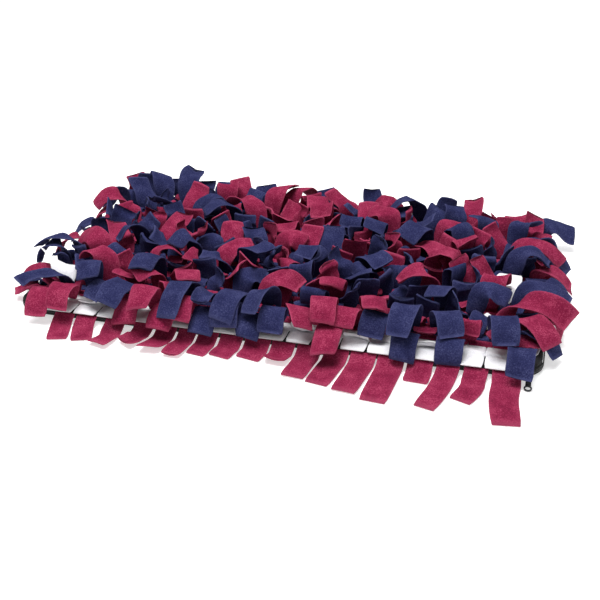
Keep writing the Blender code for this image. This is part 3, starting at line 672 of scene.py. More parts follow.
# %% The fringe
# root_x, tip_x, tip_y, swing, width
FRINGE = (
    (-241, -230, -236, 0, 25),
    (-213, -202, -231, 0, 25),
    (-176, -179, -240, 4, 25),
    (-140, -150, -230, 0, 25),
    (-112, -118, -238, 0, 25),
    (-86, -90, -240, 0, 22),
    (-61, -65, -228, 0, 24),
    (-33, -38, -226, 0, 27),
    (-2, -6, -222, 0, 30),
    (28, 25, -226, 0, 27),
    (58, 52, -246, 0, 28),
    (89, 80, -252, 0, 28),
    (119, 111, -260, 0, 29),
    (150, 144, -270, 0, 30),
    (182, 181, -222, 0, 28),
    (212, 197, -268, 3, 25),
    (242, 231, -246, 5, 26),
    (274.5, 281, -278, -4, 31),
)
FRINGE_BAR_Y = -PAD_WIDTH / 2 - 4.5
FRINGE_BAR_Z = 9.0
FRINGE_BAR_ENDS = (-256.0, 288.0)
FRINGE_BAR_HALVES = (2.3, 1.5)
FRINGE_SECTIONS = 6
# how far from the backing it bends down and lands, and how high that is
FRINGE_KNEE = (6.0, 6.0)
FRINGE_LANDING = (15.0, 0.9)
FRINGE_LIE = FLEECE / 2 + 0.1


def fringe_route(root_x, tip_x, tip_y, swing):
    """From the backing under the front edge, down to the floor, then level, with a
    bend halfway that lies to the side of the middle by a share of the swing."""
    forward, above = FRINGE_LANDING
    start = np.array([root_x, FRINGE_BAR_Y, FRINGE_BAR_Z])
    knee = np.array([root_x, FRINGE_BAR_Y - FRINGE_KNEE[0], FRINGE_KNEE[1]])
    land_x = root_x + 0.1 * (tip_x - root_x)
    land = np.array([land_x, FRINGE_BAR_Y - forward, FRINGE_LIE + above])
    tip = np.array([tip_x, tip_y, FRINGE_LIE])
    bend = (land + tip) / 2 + (swing * 0.6, 0, 0)
    return np.array([start, knee, land, (land + bend) / 2 + (swing * 0.2, 0, 0), bend, tip])


def lay_fringe(pile):
    """The strips of the fringe, side by side on the floor."""
    fringe = []
    for root_x, tip_x, tip_y, swing, wide in FRINGE:
        route = fringe_route(root_x, tip_x, tip_y, swing)
        widths = np.full(FRINGE_SECTIONS, float(wide))
        fringe.append((route, widths, 0, FLEECE, False))
        pile.add("fringe", *ribbon(*fringe[-1]))
    (left, right), (deep, high) = FRINGE_BAR_ENDS, FRINGE_BAR_HALVES
    y, z = FRINGE_BAR_Y, FRINGE_BAR_Z
    pile.add("fringe", *box((left, y - deep, z - high), (right, y + deep, z + high)))
    return fringe


print("strips of the fringe:", len(FRINGE))

# %% [markdown]
# ### Tails at the ends, and tufts
# White tails show between the others near the ends, and low ones fall over the end
# rims. Tufts of strips fall over the front rim, between stretches where only the
# white tabs show. Rows alone would leave these rims bare, so each tail and tuft is
# laid from a table, with its own backing in a furrow.

# %% Tails near the ends
# colour, root_x, root_y, tip_x, tip_y, tip_z, rise, droop, roll
END_TAILS = (
    (WHITE, -264, -129.5, -310, -96, 34, 24, 4, 60),
    (WHITE, 256, -54.5, 262, -4, 36, 18, -6, 0),
    (WHITE, 262, -104.5, 246, -122, 24, 20, 4, 0),
    (MAROON, -288, -104.5, -326, -120, 9, 28, 28, 0),
    (NAVY, -290, -79.5, -332, -84, 11, 30, 28, 0),
    (MAROON, -290, -29.5, -330, -38, 9, 28, 28, 8),
    (NAVY, -290, 20.5, -332, 14, 11, 28, 28, -8),
    (MAROON, -290, 70.5, -330, 66, 9, 28, 28, 0),
    (NAVY, -284, 120.5, -322, 124, 11, 28, 28, 0),
    (NAVY, 286, -129.5, 324, -146, 9, 28, 28, 0),
    (MAROON, 290, -79.5, 332, -90, 9, 28, 28, 0),
    (NAVY, 290, -29.5, 330, -34, 11, 28, 28, 8),
    (MAROON, 290, 20.5, 330, 14, 9, 28, 28, -8),
    (NAVY, 290, 70.5, 330, 64, 11, 28, 28, 0),
    (MAROON, 284, 120.5, 320, 122, 9, 28, 28, 0),
)
# how far a tail's or a tuft's own backing reaches past its root
TAIL_BAR_HALF = 8.0


def lay_end_tails(pile, scatter):
    """The tails near the ends, each as its colour and its one strip."""
    groups = []
    for colour, root_x, root_y, *shape in END_TAILS:
        root = (root_x, root_y, ROOT_HEIGHT)
        found = place(pile, root, shape, None, scatter, KEY_SPREAD, root_width=NARROW_ROOT)
        pile.add((root_x, root_y), *bar(root_x - TAIL_BAR_HALF, root_x + TAIL_BAR_HALF, root_y))
        groups.append((colour, found))
    return groups


print("tails near the ends:", len(END_TAILS))

# %% Tufts over the front rim
# colour, first_x, last_x, count, tip_y
FRONT_TUFTS = (
    (MAROON, -270, -243, 2, -210),
    (MAROON, -162, -93, 4, -208),
    (NAVY, -67, 14, 4, -204),
    (MAROON, 79, 79, 1, -216),
    (NAVY, 162, 162, 1, -198),
    (NAVY, 211, 211, 1, -200),
    (NAVY, 287, 287, 1, -204),
)
TUFT_ROW_Y = -164.0
TUFT_STAGGER = 12.0
TUFT_SPREAD = np.array([5.0, 8.0, 8.0, 12.0, 10.0, 16.0])


def lay_tufts(pile, scatter):
    """The tufts over the front rim, each with its colour."""
    groups = []
    for colour, first_x, last_x, count, tip_y in FRONT_TUFTS:
        strips = []
        for index, x in enumerate(np.linspace(first_x, last_x, count)):
            high = TUFT_STAGGER * (index % 2)
            shape = (x, tip_y + scatter.uniform(-5, 5), 13 + high, 26 + high, 22, 0)
            root = (x, TUFT_ROW_Y, ROOT_HEIGHT)
            strips += place(pile, root, shape, None, scatter, TUFT_SPREAD, root_width=NARROW_ROOT)
        pile.add("tuft", *bar(first_x - TAIL_BAR_HALF, last_x + TAIL_BAR_HALF, TUFT_ROW_Y))
        groups.append((colour, strips))
    return groups


print("strips in tufts:", sum(count for _, _, _, count, _ in FRONT_TUFTS))

# %% [markdown]
# ### The pile's strips
# Strips drawn by chance alone make an even carpet. So a table gives the strips that
# stand out, at the ends, on the front slope and along the crown, and the slots
# between them are filled by chance. Strips lie over the row in front of them, those
# at the rim fall over it, and some stand up.

# %% Key strips
# Each leaves the slot nearest to root_x in its row, rises, and comes down to its tip
# from droop above it. roll turns the tip about its own length.
# colour, row, root_x, tip_x, tip_y, tip_z, rise, droop, roll
KEY_STRIPS = (
    # left end, front to back
    (NAVY, 2, -253, -308, -150, 28, 30, 5, 55),
    (NAVY, 0, -275, -302, -176, 20, 22, 12, 0),
    (NAVY, 3, -275, -332, -80, 28, 32, 20, 20),
    (MAROON, 4, -253, -306, -50, 34, 35, 12, -25),
    (NAVY, 6, -275, -316, -6, 30, 32, 12, -20),
    (MAROON, 4, -231, -262, 4, 44, 30, -6, 20),
    (NAVY, 6, -231, -214, 24, 50, 30, -10, 20),
    (MAROON, 2, -209, -238, -134, 24, 44, 34, 10),
    (NAVY, 3, -209, -240, -96, 28, 42, 24, -10),
    (MAROON, 3, -187, -188, -116, 20, 52, 40, 8),
    (NAVY, 4, -187, -168, -70, 24, 45, 36, -8),
    (NAVY, 4, -121, -152, -62, 32, 34, 14, -10),
    (NAVY, 8, -209, -206, 70, 52, 26, -14, 0),
    (MAROON, 6, -187, -176, 44, 48, 22, -12, 8),
    (MAROON, 6, -143, -146, 38, 56, 26, -16, 4),
    (MAROON, 6, -121, -106, 32, 52, 24, -14, -8),
    # front slope, left to right
    (NAVY, 2, -165, -184, -146, 30, 38, 18, 20),
    (MAROON, 0, -143, -146, -186, 28, 34, 16, 6),
    (NAVY, 0, -99, -104, -184, 28, 34, 14, 8),
    (NAVY, 0, -11, -14, -184, 30, 36, 16, 4),
    (NAVY, 2, -99, -124, -146, 34, 36, 12, 10),
    (MAROON, 2, -55, -82, -150, 38, 34, 10, -8),
    (MAROON, 2, 33, 30, -156, 34, 42, 18, -6),
    (NAVY, 2, -11, -6, -150, 46, 46, 12, 6),
    (MAROON, 3, -55, -104, -92, 36, 34, 12, 8),
    (NAVY, 3, -77, -112, -66, 40, 34, 8, 12),
    (NAVY, 3, 11, 36, -112, 30, 46, 32, -10),
    (MAROON, 2, 55, 68, -160, 24, 44, 32, 14),
    (NAVY, 4, 77, 68, -84, 20, 50, 46, 0),
    (NAVY, 4, 99, 100, -96, 20, 54, 50, 0),
    (NAVY, 2, 99, 108, -148, 30, 34, 14, -8),
    (NAVY, 3, 143, 152, -122, 32, 38, 18, -6),
    (NAVY, 2, 165, 166, -158, 30, 42, 24, -4),
    (NAVY, 0, 209, 213, -180, 34, 44, 26, 0),
    (MAROON, 3, 187, 204, -112, 24, 46, 34, -14),
    (NAVY, 4, 187, 222, -62, 30, 48, 30, 14),
    # right end
    (NAVY, 0, 292, 304, -188, 30, 36, 24, 0),
    (MAROON, 1, 276, 318, -152, 18, 36, 24, 10),
    (NAVY, 3, 276, 330, -56, 18, 36, 22, 8),
    (MAROON, 5, 276, 328, -2, 18, 36, 22, -8),
    (NAVY, 7, 276, 326, 34, 18, 36, 22, 8),
    (MAROON, 2, 275, 326, -114, 16, 26, 18, 15),
    (MAROON, 3, 275, 340, -76, 14, 26, 18, 40),
    (MAROON, 4, 275, 320, -20, 22, 34, 26, -10),
    (NAVY, 6, 275, 308, 16, 26, 36, 22, 12),
    (MAROON, 8, 275, 322, 54, 18, 34, 30, 14),
    (NAVY, 9, 275, 306, 84, 22, 46, 38, 8),
    (NAVY, 8, 253, 286, 40, 40, 46, 26, -8),
    (MAROON, 9, 231, 224, 98, 54, 24, -12, 0),
    (NAVY, 10, 231, 206, 132, 44, 54, 8, 30),
    (NAVY, 10, 253, 280, 132, 40, 54, 12, -30),
    (NAVY, 9, 187, 190, 52, 28, 46, 34, 8),
    # middle
    (MAROON, 6, 11, 4, 40, 54, 24, -14, 0),
    (NAVY, 6, 33, 30, 44, 54, 24, -14, 0),
    (MAROON, 6, 55, 66, -4, 44, 26, 8, 24),
    (NAVY, 6, -55, -50, -24, 36, 50, 32, 0),
    (MAROON, 4, -11, -14, -64, 40, 40, 8, 20),
    # back edge, left to right
    (NAVY, 10, -275, -286, 136, 56, 24, -10, 10),
    (NAVY, 12, -231, -228, 168, 50, 22, -10, 0),
    (MAROON, 10, -187, -188, 142, 50, 26, -8, 6),
    (NAVY, 12, -165, -162, 172, 50, 24, -10, 4),
    (MAROON, 12, -143, -142, 176, 48, 24, -8, -4),
    (NAVY, 12, -99, -102, 176, 50, 24, -12, -6),
    (NAVY, 12, -11, -14, 180, 50, 24, -12, 4),
    (MAROON, 12, 11, -2, 166, 56, 26, -14, 0),
    (MAROON, 10, 55, 54, 152, 50, 24, -12, -8),
    (NAVY, 12, 55, 48, 184, 50, 24, -10, 8),
)


def pile_plan():
    """The key strips by row and slot, each with its colour and shape."""
    plan = {}
    for colour, row, root_x, *shape in KEY_STRIPS:
        free = [s for s in range(slots_in(row)) if (row, s) not in plan]
        slot = min(free, key=lambda s: abs(slot_x(row, s) - root_x))
        plan[row, slot] = (colour, shape)
    return plan


print("key strips:", len(pile_plan()))

# %% The shape that a strip is given
# shapes tried for a slot, and how far they may stray
SHAPES_TRIED = 5
FILL_SPREAD = np.array([26.0, 26.0, 16.0, 26.0, 24.0, 60.0])
# degrees that a strip leans from straight ahead, mostly and at times
LEAN_SPREAD = 45.0
WIDE_LEAN = 150.0
WIDE_SHARE = 0.3
# how strips near the end rims turn outwards and reach down
RIM_LEAN = 1.8
RIM_DROP = 22.0
# reach, tip height, rise, droop and roll, each from its least to its most
LYING = ((30, 58), (24, 44), (30, 52), (-4, 30), (-35, 35))
STANDING = ((4, 20), (42, 54), (18, 30), (-16, -4), (-45, 45))
STANDING_SHARE = 0.36
# strips of the first row, which end near the rim, or before it where it is bare
FIRST_REACH = 12.0
FIRST_TIP_Z = 24.0
FIRST_DROOP = 30.0
BARE_TIP_Y = -180.0
FULL_TIP_Y = -190.0
# stretches of the front rim, from and to, where only the white tabs show
BARE_RIM = ((-232, -182), (26, 62), (94, 152), (182, 202), (222, 266))
# a slot left bare gets a narrower, shorter strip that stands among the others
SHORT_WIDTH = 22.0
SHORT_SHAPES = 8


def scattered(row, x, y, stands, scatter):
    """A wanted shape for a strip with none of its own. Strips lie over the row in
    front of them, those at the rim fall over it, and some stand up."""
    forward = row < ROW_COUNT - 2
    spread = WIDE_LEAN if scatter.random() < WIDE_SHARE else LEAN_SPREAD
    angle = np.radians((-90 if forward else 90) + scatter.uniform(-spread, spread))
    outward = x / (PAD_LENGTH / 2)
    lean = np.array([np.cos(angle) + RIM_LEAN * outward * abs(outward) ** 3, np.sin(angle)])
    lean /= np.linalg.norm(lean)
    ranges = STANDING if stands else LYING
    reach, tip_z, rise, droop, roll = (scatter.uniform(*ends) for ends in ranges)
    if row == 0:
        tip_y = BARE_TIP_Y if any(low < x < high for low, high in BARE_RIM) else FULL_TIP_Y
        return (x + lean[0] * FIRST_REACH, tip_y, FIRST_TIP_Z, rise, FIRST_DROOP, roll / 2)
    tip_z -= 0.0 if stands else RIM_DROP * outward**8
    return (x + lean[0] * reach, y + lean[1] * reach, tip_z, rise, droop, roll)


def shapes_to_try(key, row, x, y, scatter):
    """The shapes for a slot, best first, each with its spread and width: its key
    shape, lying and standing ones, and then narrow ones that stand."""
    if key:
        yield key[1], KEY_SPREAD, STRIP_WIDTH
    for turn in range(SHAPES_TRIED):
        stands = turn >= 3 or scatter.random() < STANDING_SHARE
        yield scattered(row, x, y, stands, scatter), FILL_SPREAD, STRIP_WIDTH
    for _ in range(SHORT_SHAPES):
        yield scattered(row, x, y, True, scatter), FILL_SPREAD, SHORT_WIDTH


print("shapes tried for a slot:", SHAPES_TRIED + SHORT_SHAPES)

# %% [markdown]
# ### Laying everything out
# The order matters, because each strip only avoids what is there already: the base
# first, then the white tabs, the fringe, the tails at the ends, the front tufts and
# the rows from front to back. The two rows at the back are laid last row first.

# %% Laying everything out
SEED = 11
NAVY_SHARE = 0.58


def lay_rows(pile, scatter):
    """The strips of every row by row and colour, each row laid over the one in
    front of it, and the two at the back from the back edge inwards."""
    plan = pile_plan()
    rows = {key: [] for key in product(range(ROW_COUNT), (NAVY, MAROON))}
    bare = 0
    for row in (*range(ROW_COUNT - 2), ROW_COUNT - 1, ROW_COUNT - 2):
        slots = scatter.permutation(slots_in(row)).tolist()
        for slot in sorted(slots, key=lambda s: (row, s) not in plan):
            key = plan.get((row, slot))
            colour = key[0] if key else (NAVY if scatter.random() < NAVY_SHARE else MAROON)
            x, y = slot_x(row, slot), bar_y(row, colour)
            root = (x, y, ROOT_HEIGHT)
            for shape, spread, wide in shapes_to_try(key, row, x, y, scatter):
                found = place(pile, root, shape, (row, colour), scatter, spread, wide)
                if found:
                    rows[row, colour] += found
                    break
            else:
                bare += 1
    print("strips laid:", sum(map(len, rows.values())), "slots left bare:", bare)
    return rows


def lay_out(scatter):
    """Every node made of strips, as its name, colour and strips."""
    pile = Pile()
    add_ground(pile)
    nodes = [("white_tabs", WHITE, lay_tabs(pile, scatter))]
    nodes.append(("front_fringe", MAROON, lay_fringe(pile)))
    for row, colour in product(range(ROW_COUNT), (NAVY, MAROON)):
        pile.add((row, colour), *bar(-BAR_LENGTH / 2, BAR_LENGTH / 2, bar_y(row, colour)))
    for number, group in enumerate(lay_end_tails(pile, scatter), 1):
        nodes.append((f"end_tail_{number:02d}", *group))
    for number, group in enumerate(lay_tufts(pile, scatter), 1):
        nodes.append((f"front_tuft_{number}", *group))
    for (row, colour), strips in lay_rows(pile, scatter).items():
        nodes.append((row_name(row, colour), colour, strips))
    return nodes


laid = lay_out(np.random.default_rng(SEED))
layout = {name: strips for name, _, strips in laid}
dyes = {name: colour for name, colour, _ in laid}
print("strips in all:", sum(len(strips) for strips in layout.values()))

# %% [markdown]
# ## From a strip to cloth
# A solid strip has five sections and sharp edges. Real fleece bends smoothly, cups
# across its width, ripples a little along its length, and its cut end is never quite
# square. A subdivided and simulated strip would show all that, but would move off
# its solid. So the sections are joined by a smooth curve, and a rounded
# cross-section is carried along it:
#
# point = middle + across * x * half + out * (y * thickness / 2 + cup * (x * x - 1/3))
#
# where x and y run round the cross-section. Each strip is given its bends by chance
# and takes them only as far as it stays clear of its neighbours.

# %% Smooth sections
STEPS = 19
# x as a share of half the width, y as a share of half the thickness, and how much of
# the cut edge shows there, for the left side, which the rest mirrors
CUT_SIDE = ((-1.00, 0.00, 1.0), (-0.97, -0.72, 0.8), (-0.90, -1.00, 0.2), (-0.55, -1.00, 0.0))
lower_half = [*CUT_SIDE, (0.0, -1.0, 0.0), *((-x, y, cut) for x, y, cut in CUT_SIDE[:0:-1])]
SECTION = np.vstack([lower_half, np.multiply(lower_half, (-1, -1, 1))])


def spans_of(points, count):
    """Where each of count even places falls: its span and how far it is along it."""
    where = np.linspace(0.0, len(points) - 1.0, count)
    span = np.minimum(where.astype(int), len(points) - 2)
    return span, (where - span)[:, None]


def smooth_through(points, count):
    """A curve through the points: in each span a cubic whose slope at a point is
    half of the step between its neighbours."""
    points = np.asarray(points, float)
    slopes = np.gradient(points, axis=0)
    span, t = spans_of(points, count)
    a, b, m, n = points[span], points[span + 1], slopes[span], slopes[span + 1]
    return (
        (2 * t**3 - 3 * t**2 + 1) * a
        + (t**3 - 2 * t**2 + t) * m
        + (3 * t**2 - 2 * t**3) * b
        + (t**3 - t**2) * n
    )


def straight_through(points, count):
    """The same points joined by straight lines: (1 - t) * one + t * the next."""
    points = np.asarray(points, float)
    span, t = spans_of(points, count)
    return (1 - t) * points[span] + t * points[span + 1]


print("points round a strip:", len(SECTION), "sections:", STEPS)

# %% [markdown]
# The bends of a strip are small lengths: how far it cups across its width, curls at
# the tip, ripples along its length and warps so that one edge rises as the other
# falls, how skew its end is cut and how far its edges wander. One more number, the
# phase, shifts its waves.

# %% A strip's surface
# how far each wave turns over a strip's length, in radians
RIPPLE_TURN, EDGE_TURN, WARP_TURN = 9.0, 7.0, 6.0
# the last sections draw in, so the cut end and its corners are rounded
END_NARROWING = ((0.3,), (1.3,))
END_THINNING = 0.55
# next to its knot a strip is gathered, which makes it thicker
GATHER_SHARE = 0.2


def cloth_strip(strip, bends, amount, smooth=True, steps=STEPS):
    """Vertices (mm), faces and cut-edge values of one closed strip. amount scales
    every bend, from the plain solid at 0 to the full shape at 1."""
    route, widths, roll, _, upright = strip if len(strip) == 5 else (*strip, FLEECE, True)
    join = smooth_through if smooth else straight_through
    wide, normal = directions(route, roll, upright)
    middle = join(route, steps)
    wide, normal = join(wide, steps), join(normal, steps)
    half = join(np.asarray(widths)[:, None], steps) / 2
    wide /= np.linalg.norm(wide, axis=1)[:, None]
    normal /= np.linalg.norm(normal, axis=1)[:, None]
    cup, curl, ripple, warp, skew, wander = bends[:-1] * amount
    phase = bends[-1]
    t = np.linspace(0.0, 1.0, steps)[:, None]
    ease = t * t * (3 - 2 * t)
    out = curl * t**4 + ripple * np.sin(RIPPLE_TURN * t + phase) * ease
    along_route = np.gradient(middle, axis=0)
    along_route /= np.linalg.norm(along_route, axis=1)[:, None]
    half = half + wander * np.sin(EDGE_TURN * t + 2 * phase) * ease
    half[-2:] -= END_NARROWING
    thick = FLEECE / 2 * (1 + (1 - np.clip(t / GATHER_SHARE, 0, 1)) * upright)
    thick[-1] *= END_THINNING
    x, y = SECTION[:, 0][None, :, None], SECTION[:, 1][None, :, None]
    points = (
        middle[:, None]
        + wide[:, None] * (x * half[:, None])
        + normal[:, None] * (y * thick[:, None])
        + normal[:, None] * (cup * ease[:, None] * (x * x - 0.33) + out[:, None])
        + normal[:, None] * (warp * ease * np.sin(WARP_TURN * t + 3 * phase))[:, None] * x
        + along_route[:, None] * (skew * ease[:, None] ** 4 * x)
    )
    around = len(SECTION)
    vertices = points.reshape(-1, 3)
    ends = np.array([points[0].mean(0), points[-1].mean(0)])
    vertices = np.vstack([vertices, ends])
    ring = np.arange(around)
    ahead = (ring + 1) % around
    base = around * np.arange(steps - 1)[:, None]
    quads = np.stack([base + ring, base + ahead, base + around + ahead, base + around + ring], -1)
    last = around * (steps - 1)
    first_cap = np.stack([ahead, ring, np.full(around, len(vertices) - 2)], -1)
    last_cap = np.stack([last + ring, last + ahead, np.full(around, len(vertices) - 1)], -1)
    # the cut-edge values, where the fleece paints a lighter highlight
    edge = np.tile(SECTION[:, 2], (steps, 1))
    edge[-1] = 1.0
    edge = np.append(edge.reshape(-1), [0.0, 1.0])
    return vertices, quads.reshape(-1, 4), np.vstack([first_cap, last_cap]), edge


print("places on one strip's surface:", STEPS * len(SECTION) + 2)

# %% [markdown]
# ### Letting the strips settle
# Neighbours lie within a millimetre of each other, so bends drawn by chance would
# cross. Every strip starts as its plain solid, which is clear of all others. Then
# each in turn tries its full bends, then weaker ones, and last the smooth curve
# alone, and keeps the first that crosses nothing.

# %% Letting the strips settle
AMOUNTS = (1.0, 0.65, 0.4, 0.2, 0.0)
# cup, curl, ripple, warp, skew, wander, and the phase in radians
MOST_BENDS = np.array([7.5, 9.0, 1.8, 2.6, 3.5, 1.2, 3.1])
STRAIGHT = np.zeros(len(MOST_BENDS))
LEAST_HEIGHT = 0.2
BEND_SEED = 5


def faces_of(shape):
    """The faces of a strip's surface as one list."""
    return shape[1].tolist() + shape[2].tolist()


def tree_of(shape):
    """The faces of a strip's surface as a tree for crossing tests."""
    return BVHTree.FromPolygons(shape[0].tolist(), faces_of(shape))


def settle(strips, chance):
    """The cloth surface of every strip, each bent as far as it stays clear."""
    bends = chance.uniform(-1, 1, (len(strips), len(MOST_BENDS))) * MOST_BENDS
    shapes = [cloth_strip(s, b, 0.0, smooth=False) for s, b in zip(strips, bends)]
    trees = [tree_of(shape) for shape in shapes]
    lows = np.array([shape[0].min(0) for shape in shapes])
    highs = np.array([shape[0].max(0) for shape in shapes])
    kept = np.zeros(len(AMOUNTS) + 1, int)
    for index, strip in enumerate(strips):
        for choice, amount in enumerate(AMOUNTS):
            shape = cloth_strip(strip, bends[index], amount)
            low, high = shape[0].min(0), shape[0].max(0)
            if low[2] < LEAST_HEIGHT:
                continue
            tree = tree_of(shape)
            apart = (lows > high).any(1) | (highs < low).any(1)
            near = [i for i in np.flatnonzero(~apart) if i != index]
            if any(trees[i].overlap(tree) for i in near):
                continue
            shapes[index], trees[index] = shape, tree
            lows[index], highs[index] = low, high
            kept[choice] += 1
            break
        else:
            kept[-1] += 1
    print("bends kept:", dict(zip([*AMOUNTS, "plain"], kept.tolist())))
    return shapes


chance = np.random.default_rng(BEND_SEED)
strips_in_order = [strip for strips in layout.values() for strip in strips]
settled = iter(settle(strips_in_order, chance))
cloth = {name: [next(settled) for _ in strips] for name, strips in layout.items()}

# %% [markdown]
# ### One mesh from many strips
# A row's strips hang together by their backing, so they are one piece. Joining
# objects in Blender would do it, but the arrays are at hand: each strip's faces count
# on from the last strip's vertices.

# %% Several strips as one mesh


def joined(shapes):
    """The vertices, faces and edge values of several strips as one list of each."""
    offset, vertices, polygons, edges = 0, [], [], []
    for points, quads, caps, edge in shapes:
        polygons += (quads + offset).tolist() + (caps + offset).tolist()
        vertices.append(points)
        edges.append(edge)
        offset += len(points)
    return np.vstack(vertices), polygons, np.concatenate(edges)


print("vertices of the fringe:", len(joined(cloth["front_fringe"])[0]))

# %% [markdown]
# ### Knots
# Each strip is tied through the sheet, and its knot lies flat over the slits. Knot
# beside knot, they make two low bands along every row, one of each colour, and hide
# most of the sheet. A true knot could be routed over and under, but only its flat
# top shows between the tails. So a knot is a strip laid across the row, a little
# domed, and as wide as its neighbours leave room for.

# %% Knots along the rows
# a knot's height over the sheet, its width, its room and the height of its dome
KNOT_LIFT = 0.2
KNOT_WIDTHS = (19.0, 34.0)
KNOT_GAP = 0.08
KNOT_DOME = (0.5, 1.9)
# how far a knot's ends lean out for each millimetre of dome
DOME_LEAN = 0.21
KNOT_STEPS = 6
# how much of the way to the next seam a knot reaches, tried in this order
KNOT_REACHES = (1.0, 0.96, 0.92, 0.86, 0.78, 0.68, 0.55, 0.4)
# the wave of the seams, and the straight seam behind the last row
SEAM_WAVE = 1.4
SEAM_LENGTH = 37.0
SEAM_SHIFT = 1.7
BACK_SEAM = PAD_WIDTH / 2 - CLOTH_SIDE_INSET - 1.5
BACK_SEAM_HALF = 272.0


def seam(index, x):
    """Where two bands of knots meet. Even seams run straight along the rows, and odd
    ones between them with a slight wave: y = row pitch / 2 * index + a sine of x."""
    if index > 2 * (ROW_COUNT - 1) and abs(x) < BACK_SEAM_HALF:
        return BACK_SEAM
    wave = SEAM_WAVE * np.sin(x / SEAM_LENGTH + SEAM_SHIFT * index) * (index % 2)
    return ROW_FRONT + ROW_PITCH / 2 * index + wave


def first_clear(pile, owner, ignore, steps, tries):
    """The first strip of the tries, each a strip and its bends, whose cloth is clear
    of all but the owner to ignore. The pile keeps it. It comes back with its cloth
    in a list, which is empty if none is clear."""
    for strip, bends in tries:
        shape = cloth_strip(strip, bends, 1.0, steps=steps)
        if not pile.touched_by(shape[0], faces_of(shape), ignore):
            pile.add(owner, shape[0], faces_of(shape))
            return [(strip, shape)]
    return []


def knot_tries(x, width, start, end, chance):
    """A knot that lies from y start towards y end, at each of its reaches. It is a
    straight route whose height is a dome, half a turn of a sine, over the sheet."""
    t = np.linspace(0.0, 1.0, 4)
    dome = chance.uniform(*KNOT_DOME)
    level = CLOTH_TOP + KNOT_LIFT + FLEECE / 2 + dome * np.sin(np.pi * t)
    way = np.sign(end - start)
    # a domed knot leans past its ends, so it keeps that much more off the seams
    inset = KNOT_GAP + DOME_LEAN * dome
    for reach in KNOT_REACHES:
        far = abs(end - start) * reach - 2 * inset
        route = np.stack([np.full(4, x), start + way * (inset + far * t), level], 1)
        yield (route, np.full(4, width - KNOT_GAP), 0.0, FLEECE, False), STRAIGHT


def tie_rows(pile, chance):
    """The knots of every row, by the row's node. A knot may touch the tails of its
    own node, which rise out of it."""
    found = {}
    end = BAR_LENGTH / 2
    for row in range(ROW_COUNT):
        for colour, way in ((MAROON, -1), (NAVY, 1)):
            name = row_name(row, colour)
            found[name] = []
            left = -end
            while left < end - 1:
                width = min(chance.uniform(*KNOT_WIDTHS), end - left)
                x = left + width / 2
                tries = knot_tries(x, width, seam(2 * row, x), seam(2 * row + way, x), chance)
                found[name] += first_clear(pile, f"knots of {name}", name, KNOT_STEPS, tries)
                left += width
    return found

# %% [markdown]
# ### The second tails
# A knot has two tails. The long ones make the pile. The others are short here: they
# fill the furrows between the rows, and at the back and the ends they hang over the
# rim. Each is tried from a few reaches, and is left out where there is no room.

# %% Short tails in the furrows
# how far apart they are tried, their sections, and their least and full widths
SHORT_PITCH = 11.0
SHORT_STEPS = 8
SHORT_ROOT = 12.0
SHORT_WIDTHS = (18.0, 27.0)
# reach along the sheet and height of the tip, tried in this order
SHORT_TRIES = ((27.0, 20.0), (25.0, 13.0), (22.0, 8.0), (14.0, 13.0))
BACK_TRIES = ((42.0, -8.0), (38.0, -4.0), (35.0, 2.0), (32.0, 6.0))
END_TRIES = ((33.0, -7.0), (30.0, -3.0), (27.0, 3.0), (24.0, 8.0))
# how far they turn from straight ahead in radians, how they arch, and their bends
MOST_TURN = 0.6
LEAST_RISE, SHORT_ARCH, SHORT_DROOP = 9.0, 5.0, 3.0
SHORT_ROLL = 25.0
SHORT_BEND = 0.4
# how far in from the end of a row the tails over the end rims start
END_INSETS = (5.0, 17.0)


def tail_tries(root, heading, reaches, chance):
    """A short strip that leaves its knot near the heading, an angle from the X axis,
    at each of the reaches."""
    for reach, rise in reaches:
        turn = heading + chance.uniform(-MOST_TURN, MOST_TURN)
        tip = root + np.array([reach * np.cos(turn), reach * np.sin(turn), rise])
        widths = strip_widths(SECTIONS, SHORT_ROOT, chance.uniform(*SHORT_WIDTHS))
        route = along(root, tip, max(rise, LEAST_RISE) + SHORT_ARCH, SHORT_DROOP)
        roll = chance.uniform(-SHORT_ROLL, SHORT_ROLL)
        bends = chance.uniform(-SHORT_BEND, SHORT_BEND, len(MOST_BENDS)) * MOST_BENDS
        yield (route, widths, roll), bends


def short_tail(pile, row, colour, x, heading, reaches, chance):
    """A short tail of one row's colour with its cloth, in a list, which is empty
    where there is no room. It may touch the knots of its row's node."""
    root = np.array([x, bar_y(row, colour), CLOTH_TOP + KNOT_LIFT])
    tries = tail_tries(root, heading, reaches, chance)
    return first_clear(pile, "tail", f"knots of {row_name(row, colour)}", SHORT_STEPS, tries)


def fill_furrows(pile, chance):
    """Short tails over the rim at both ends, and then from both sides of every row,
    by the row's node."""
    found = {name: [] for name in layout}
    end = BAR_LENGTH / 2
    ends = [(way * (end - inset), way) for inset in END_INSETS for way in (-1, 1)]
    for row, colour in product(range(ROW_COUNT), (MAROON, NAVY)):
        for x, way in ends:
            heading = np.pi if way < 0 else 0.0
            tail = short_tail(pile, row, colour, x, heading, END_TRIES, chance)
            found[row_name(row, colour)] += tail
    places = np.arange(6 - end, end - 5, SHORT_PITCH)
    for row in range(ROW_COUNT):
        for colour, way in ((MAROON, -1), (NAVY, 1), (MAROON, 1), (NAVY, -1)):
            over_rim = row == ROW_COUNT - 1 and way == 1
            reaches = BACK_TRIES + SHORT_TRIES if over_rim else SHORT_TRIES
            for x in chance.permutation(places):
                tail = short_tail(pile, row, colour, x, way * np.pi / 2, reaches, chance)
                found[row_name(row, colour)] += tail
    return found


